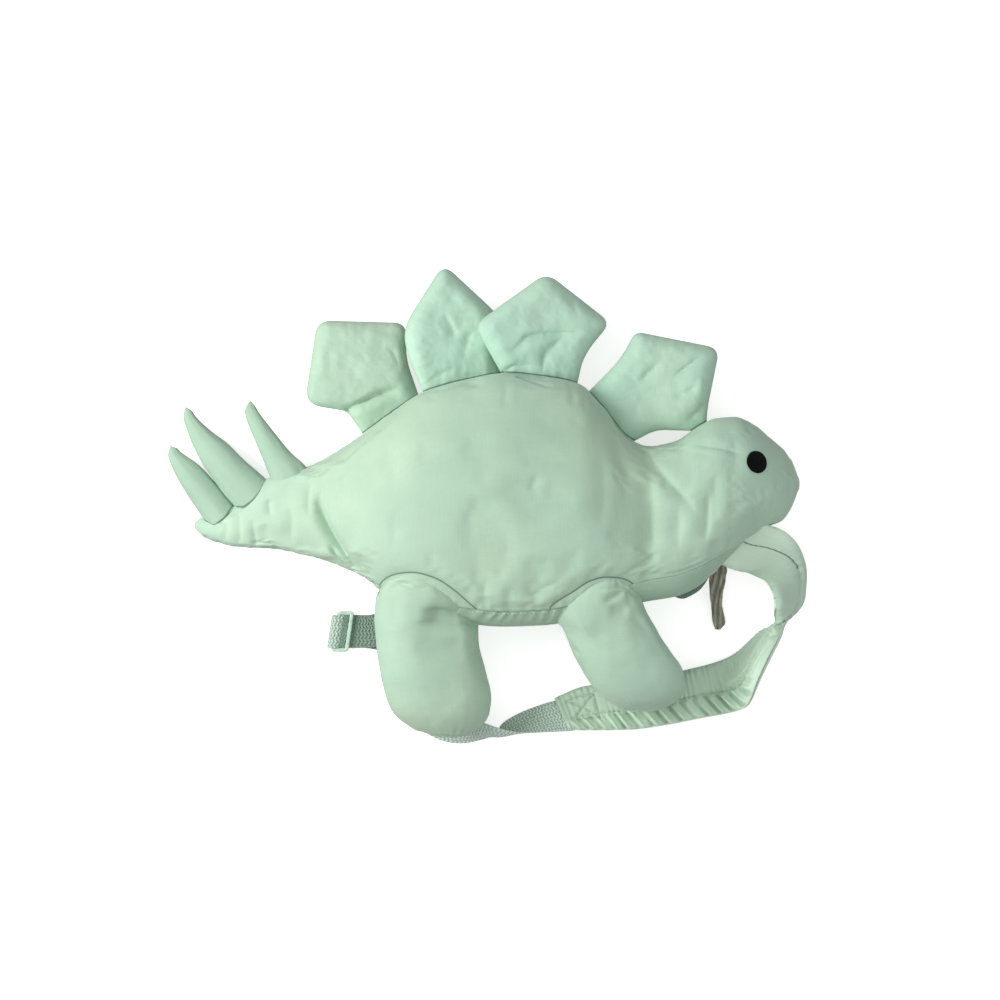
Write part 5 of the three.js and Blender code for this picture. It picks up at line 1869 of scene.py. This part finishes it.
@dataclass
class Studio:
    """A pale floor, soft light from the left and a camera straight above."""

    floor_half: float = 3000.0
    floor_gap: float = 0.3
    sight: Pair = (10.1, 5.25)
    sensor: float = 36.0
    frame_width: float = 750.0
    frame_height_at: float = 35.0
    distance: float = 2200.0
    aim: Triple = (0.0, 0.0, 0.04)
    lights: tuple[tuple[str, Triple, float, float, Triple], ...] = (
        ("key", (-1.0, 0.2, 0.8), 0.75, 14.6, (1.0, 0.99, 0.96)),
        ("fill", (-0.3, 0.2, 2.0), 1.6, 2.5, (0.97, 0.99, 1.0)),
        ("bounce", (1.0, -0.7, 1.0), 1.2, 2.6, (1.0, 0.97, 0.92)),
    )
    sky: tuple[tuple[float, Colour], ...] = ((0.0, (0.55, 0.49, 0.47, 1)), (0.25, (0.96, 0.98, 1.0, 1)))
    sky_strength: float = 0.52

    def floor(self) -> Piece:
        """Makes the floor: a wide square just below the part."""
        half, z = self.floor_half, -self.floor_gap
        corners = np.array(((-half, -half, z), (half, -half, z), (half, half, z), (-half, half, z)))
        floor = new_piece("floor", corners, [[0, 1, 2, 3]])
        s = Shader("pale_floor")
        mottle = s.grain(s.whole(), 5.0, 3.0)
        tint = s.blend(mottle, (0.90, 0.90, 0.89, 1), (0.93, 0.93, 0.92, 1))
        s.steady(Specular_IOR_Level=0.1, Emission_Color=(1.0, 1.0, 1.0, 1.0), Emission_Strength=0.62)
        floor.data.materials.append(s.finish(tint, 0.9))
        floor.visible_diffuse = False
        return floor

    def light(self, name: str, at: Triple, size: float, power: float, colour: Triple) -> None:
        """Adds a square area light that looks at the part.

        Args:
            name: The light's name.
            at: Its place, in metres.
            size: Its side.
            power: Its strength, in watts.
            colour: Its colour.
        """
        data = bpy.data.lights.new(name, "AREA")
        data.size, data.energy, data.color = size, power, colour
        lamp = bpy.data.objects.new(name, data)
        lamp.location = at
        back = np.array(at) - np.array(self.aim)
        tilt = math.atan2(math.hypot(back[0], back[1]), back[2])
        lamp.rotation_euler = (tilt, 0.0, math.atan2(back[1], back[0]) + math.pi / 2)
        bpy.context.scene.collection.objects.link(lamp)

    def world(self) -> None:
        """Sets a pale sky that darkens and warms below the horizon, as over a floor in shade."""
        world = bpy.data.worlds.new("studio")
        bpy.context.scene.world = world
        world.use_nodes = True
        tree = world.node_tree
        where = tree.nodes.new("ShaderNodeTexCoord")
        split = tree.nodes.new("ShaderNodeSeparateXYZ")
        ramp = tree.nodes.new("ShaderNodeValToRGB")
        tree.links.new(where.outputs["Generated"], split.inputs[0])
        tree.links.new(split.outputs[2], ramp.inputs[0])
        for stop, (height, colour) in zip(ramp.color_ramp.elements, self.sky):
            stop.position, stop.color = height, colour
        back = tree.nodes["Background"]
        tree.links.new(ramp.outputs[0], back.inputs[0])
        back.inputs[1].default_value = self.sky_strength

    def camera(self) -> None:
        """Puts the camera straight above, so that the frame has its width at the part's mid height."""
        data = bpy.data.cameras.new("camera")
        data.sensor_width = self.sensor
        data.lens = self.sensor * self.distance / self.frame_width
        camera = bpy.data.objects.new("camera", data)
        camera.location = (self.sight[0] * MM, self.sight[1] * MM, (self.distance + self.frame_height_at) * MM)
        data.clip_end = 50.0
        bpy.context.scene.collection.objects.link(camera)
        bpy.context.scene.camera = camera

    def build(self) -> None:
        """Makes floor, lights, sky and camera."""
        scene = bpy.context.scene
        scene.view_settings.view_transform = "Standard"
        scene.view_settings.look = "None"
        self.camera()
        self.floor()
        self.world()
        for lamp in self.lights:
            self.light(*lamp)


REAR_ARC = (
    (-81.5, -61), (-76.5, -54.5), (-67, -49.3), (-54.5, -47.8), (-38.5, -51.5), (-24.4, -60.2), (-11, -72), (-5, -77),
)
FRONT_ARC = (
    (46, -80.5), (47.2, -74), (55, -67.5), (63.2, -62.6), (76.3, -54.3), (88, -51.4), (98.3, -52.1), (107.2, -55.8),
    (111.5, -60.5),
)


def leg_sections(*rows: tuple[float, ...]) -> Table:
    """The table of a leg's sections from the top seam to the foot."""
    return Table(("y", "left", "right", "under", "over"), rows, blur=1.5)


def legs(cotton: Material) -> list[Leg]:
    """The rear and the front leg."""
    rear = leg_sections(
        (-46, -62, -44, 40, 76), (-50, -70, -36, 26, 80), (-57, -77, -24, 12, 82), (-67.5, -82, -12, 8, 82),
        (-81, -83, -6, 7, 80), (-100, -82, -5, 6.5, 76), (-122, -79, -0.5, 5.5, 72), (-141, -75.5, 2.5, 5.5, 67),
        (-153, -71, 1, 6, 61), (-162.5, -60, -4, 8.5, 52), (-169.5, -46, -14, 14, 41), (-172.5, -36.5, -26, 21, 33),
    )
    front = leg_sections(
        (-48, 84, 98, 46, 76), (-52.5, 76, 103, 34, 78), (-58.5, 62, 110, 22, 79.5), (-67.5, 52, 115, 15, 79),
        (-79, 49, 120.5, 12, 76), (-92, 55.5, 128, 11, 72), (-107, 63.5, 137, 10.5, 69), (-122, 72.5, 146, 10.5, 65),
        (-133.5, 79.5, 148.5, 11, 60), (-143.5, 89, 143, 14, 52), (-150, 99, 134.5, 19, 42), (-154, 110, 123.5, 25, 33),
    )
    rear_folds = (
        Fold(((-4, -78), (-20, -77.5), (-34, -77), (-49, -75)), 6.5, 2.2, 1.2, 1, 3.4, open_start=True),
        Fold(((-4, -85), (-22, -86), (-38, -85), (-56, -86)), 2.4, 1.6, 0.8, 1, 2.4, open_start=True),
        Fold(((-12, -82), (-30, -83), (-48, -79)), 2.6, 8.0),
        Fold(((-70, -62), (-68, -76), (-70, -92)), 1.0, 2.4, 0.5, 1, 1.6),
    )
    front_folds = (
        Fold(((84, -70), (90, -69), (97, -65), (104, -60)), 3.0, 1.8, 1.0, 1, 2.0),
        Fold(((104, -59), (105, -66), (108, -76)), 1.2, 1.8, 1.0, 1, 1.8),
        Fold(((90, -74), (99, -76), (106, -78)), 1.6, 5.0),
    )
    return [
        # The last tuple of each leg is its painted shade, a darker ellipse on the leg.
        Leg("leg_rear", rear, REAR_ARC, rear_folds, cotton, 101, ((-36, -90, 22, 42, 0.42),)),
        Leg("leg_front", front, FRONT_ARC, front_folds, cotton, 131, ((117, -98, 14, 44, 0.26),)),
    ]


def plates(cotton: Material, lit_crest: Material) -> list[Plate]:
    """The four back plates from tail to head."""
    return [
        Plate("plate_1", (
            (-93, 55, 2), (-105, 72, 5), (-136.5, 77, 13), (-127.5, 140.5, 11), (-61, 139, 9),
            (-60.5, 111, 10), (-51.5, 85, 2), (-46, 76, 1), (-87, 46, 1),
        ), (-88, 105), 27, (-0.12, -0.1), 19, (
            Fold(((-108, 71), (-99, 76.5), (-88, 81.5), (-78, 86), (-64, 89)), 5.5, 1.3, 1.0, -1, 2.6, open_start=True),
            Fold(((-76, 122), (-68, 112), (-66, 102)), 0.8, 2.0, 0.3, 1),
        ), cotton, 201, 0.2),
        # Plates 2 to 4 take the lighter copy of the cotton, which is painted light.
        Plate("plate_2", (
            (-47, 85, 2), (-60.5, 116, 16), (-62, 136, 14), (-32.5, 183.5, 11), (12, 142, 14),
            (8, 117, 12), (12, 99, 2), (12, 90, 1), (-44, 76, 1),
        ), (-28, 128), 30, (-0.2, -0.1), 20, (
            Fold(((-34, 146), (-26, 136), (-22, 124)), 1.6, 1.4, 0.4, -1, 2.4),
            Fold(((-46, 92), (-34, 100), (-22, 104)), 1.4, 1.5, 0.4, -1, 2.2),
            Fold(((-10, 132), (-15, 120), (-18, 108)), 1.5, 1.4, 0.3, -1, 2.4),
            Fold(((-20, 96), (-8, 99), (4, 98)), 1.2, 1.6, 0.3, -1, 2.0),
        ), lit_crest, 231, -0.5),
        Plate("plate_3", (
            (11, 100, 2), (-9.5, 136, 10), (45, 176.5, 11), (93.5, 139, 9), (73, 114, 14),
            (68, 91.5, 2), (66, 83, 1), (12, 91, 1),
        ), (42, 130), 34, (-0.2, -0.08), 21, (
            Fold(((15, 112), (25, 122), (31, 128), (47, 130), (62, 130.5), (78, 130)), 2.8, 1.2, 0.9, -1, 3.2),
            Fold(((42.5, 98), (42, 111), (49, 121), (62, 129)), 2.8, 1.2, 0.8, -1, 3.4),
            Fold(((12, 101), (24, 106), (36, 106)), 1.9, 1.2, 0.5, -1, 2.0, open_start=True),
            Fold(((13, 98), (24, 100), (36, 97)), 1.7, 1.2, 0.4, -1, 1.6, open_start=True),
            Fold(((72, 140), (66, 150), (66, 158)), 0.7, 1.6, 0.3, 1, 2.0),
        ), lit_crest, 261, 0.7),
        Plate("plate_4", (
            (75, 85, 2), (100, 110, 14), (112, 132, 6), (175.5, 119.5, 10), (166, 75, 8), (165, 62, 1),
            (156, 57, 1), (127, 58, 8), (110, 49, 2), (102, 45, 1), (70, 80, 1),
        ), (128, 92), 33, (-0.06, -0.12), 20, (
            Fold(((113, 93), (122, 102), (131, 109)), 1.8, 1.2, 0.6, -1, 2.8),
            Fold(((138, 96), (148, 104), (161, 113)), 1.8, 1.2, 0.5, -1, 3.0),
            Fold(((148, 64), (156, 70), (164, 79)), 1.8, 1.2, 0.5, -1, 2.4),
            Fold(((138, 80), (149, 86), (160, 93)), 1.4, 1.3, 0.4, -1, 2.8),
            Fold(((90, 84), (100, 80), (112, 82)), 1.2, 1.6, 0.4, -1, 2.4),
        ), lit_crest, 291, -0.2),
    ]


def spikes(cotton: Material) -> list[Spike]:
    """The three tail spikes from the tail's tip inwards."""
    return [
        Spike("tail_spike_1", (-203, -3, 17.5), (-239.6, 46, 13), (
            (-0.12, 13, 0), (0, 12.5, 0), (0.3, 11.4, 0.5), (0.57, 9.8, 1), (0.85, 5.6, 1.8), (0.95, 4, 1), (1, 2.6, 0),
        ), cotton, 311),
        Spike("tail_spike_2", (-177.5, 12.5, 23), (-228, 75.5, 16), (
            (-0.12, 15, 1), (0, 15.5, 1.5), (0.1, 15, 2.3), (0.26, 13.6, 3.3), (0.46, 12.4, 4), (0.66, 9, 4.6),
            (0.85, 5.4, 3.4), (0.95, 4, 1.5), (1, 2.8, 0),
        ), cotton, 321),
        Spike("tail_spike_3", (-148.5, 26, 28), (-179, 80, 18), (
            (-0.12, 14, 0.5), (0, 13.6, 1), (0.15, 11.4, 2.2), (0.27, 9.9, 2.7), (0.5, 8, 3.2), (0.75, 6.1, 3.6),
            (0.93, 4.4, 2.6), (1, 3.2, 0),
        ), cotton, 331),
    ]


def main() -> None:
    """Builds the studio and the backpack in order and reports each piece."""
    logging.basicConfig(level=logging.INFO, format="%(message)s")
    Studio().build()
    cotton, webbing, tape = MINT.material(), WEB.material(), TAPE.material()
    flat = FlatStrap(cotton, webbing)
    dents = ((flat.pad, flat.thick), (flat.web, flat.web_thick))
    body = BodyShell(cotton, strap_dents=dents, arcs=(REAR_ARC, FRONT_ARC))
    made = body.build()
    sewn_on = (*legs(cotton), *plates(cotton, LIT_CREST.material()), *spikes(cotton), Eye(SATIN.material()))
    made += [part.build(body) for part in sewn_on]
    strap = PaddedStrap(LIT_STRAP.material())
    made += [strap.build(), *flat.build(), *Webbing(webbing, PLASTIC.material()).build()]
    made += Zip(tape, SILVER.material(), RIBBON.material()).build(body)
    made += Stitching(THREAD.material()).build(strap, body)
    for piece in made:
        LOG.info("%s: %d points", piece.name, len(piece.data.vertices))


if __name__ == "__main__":
    main()
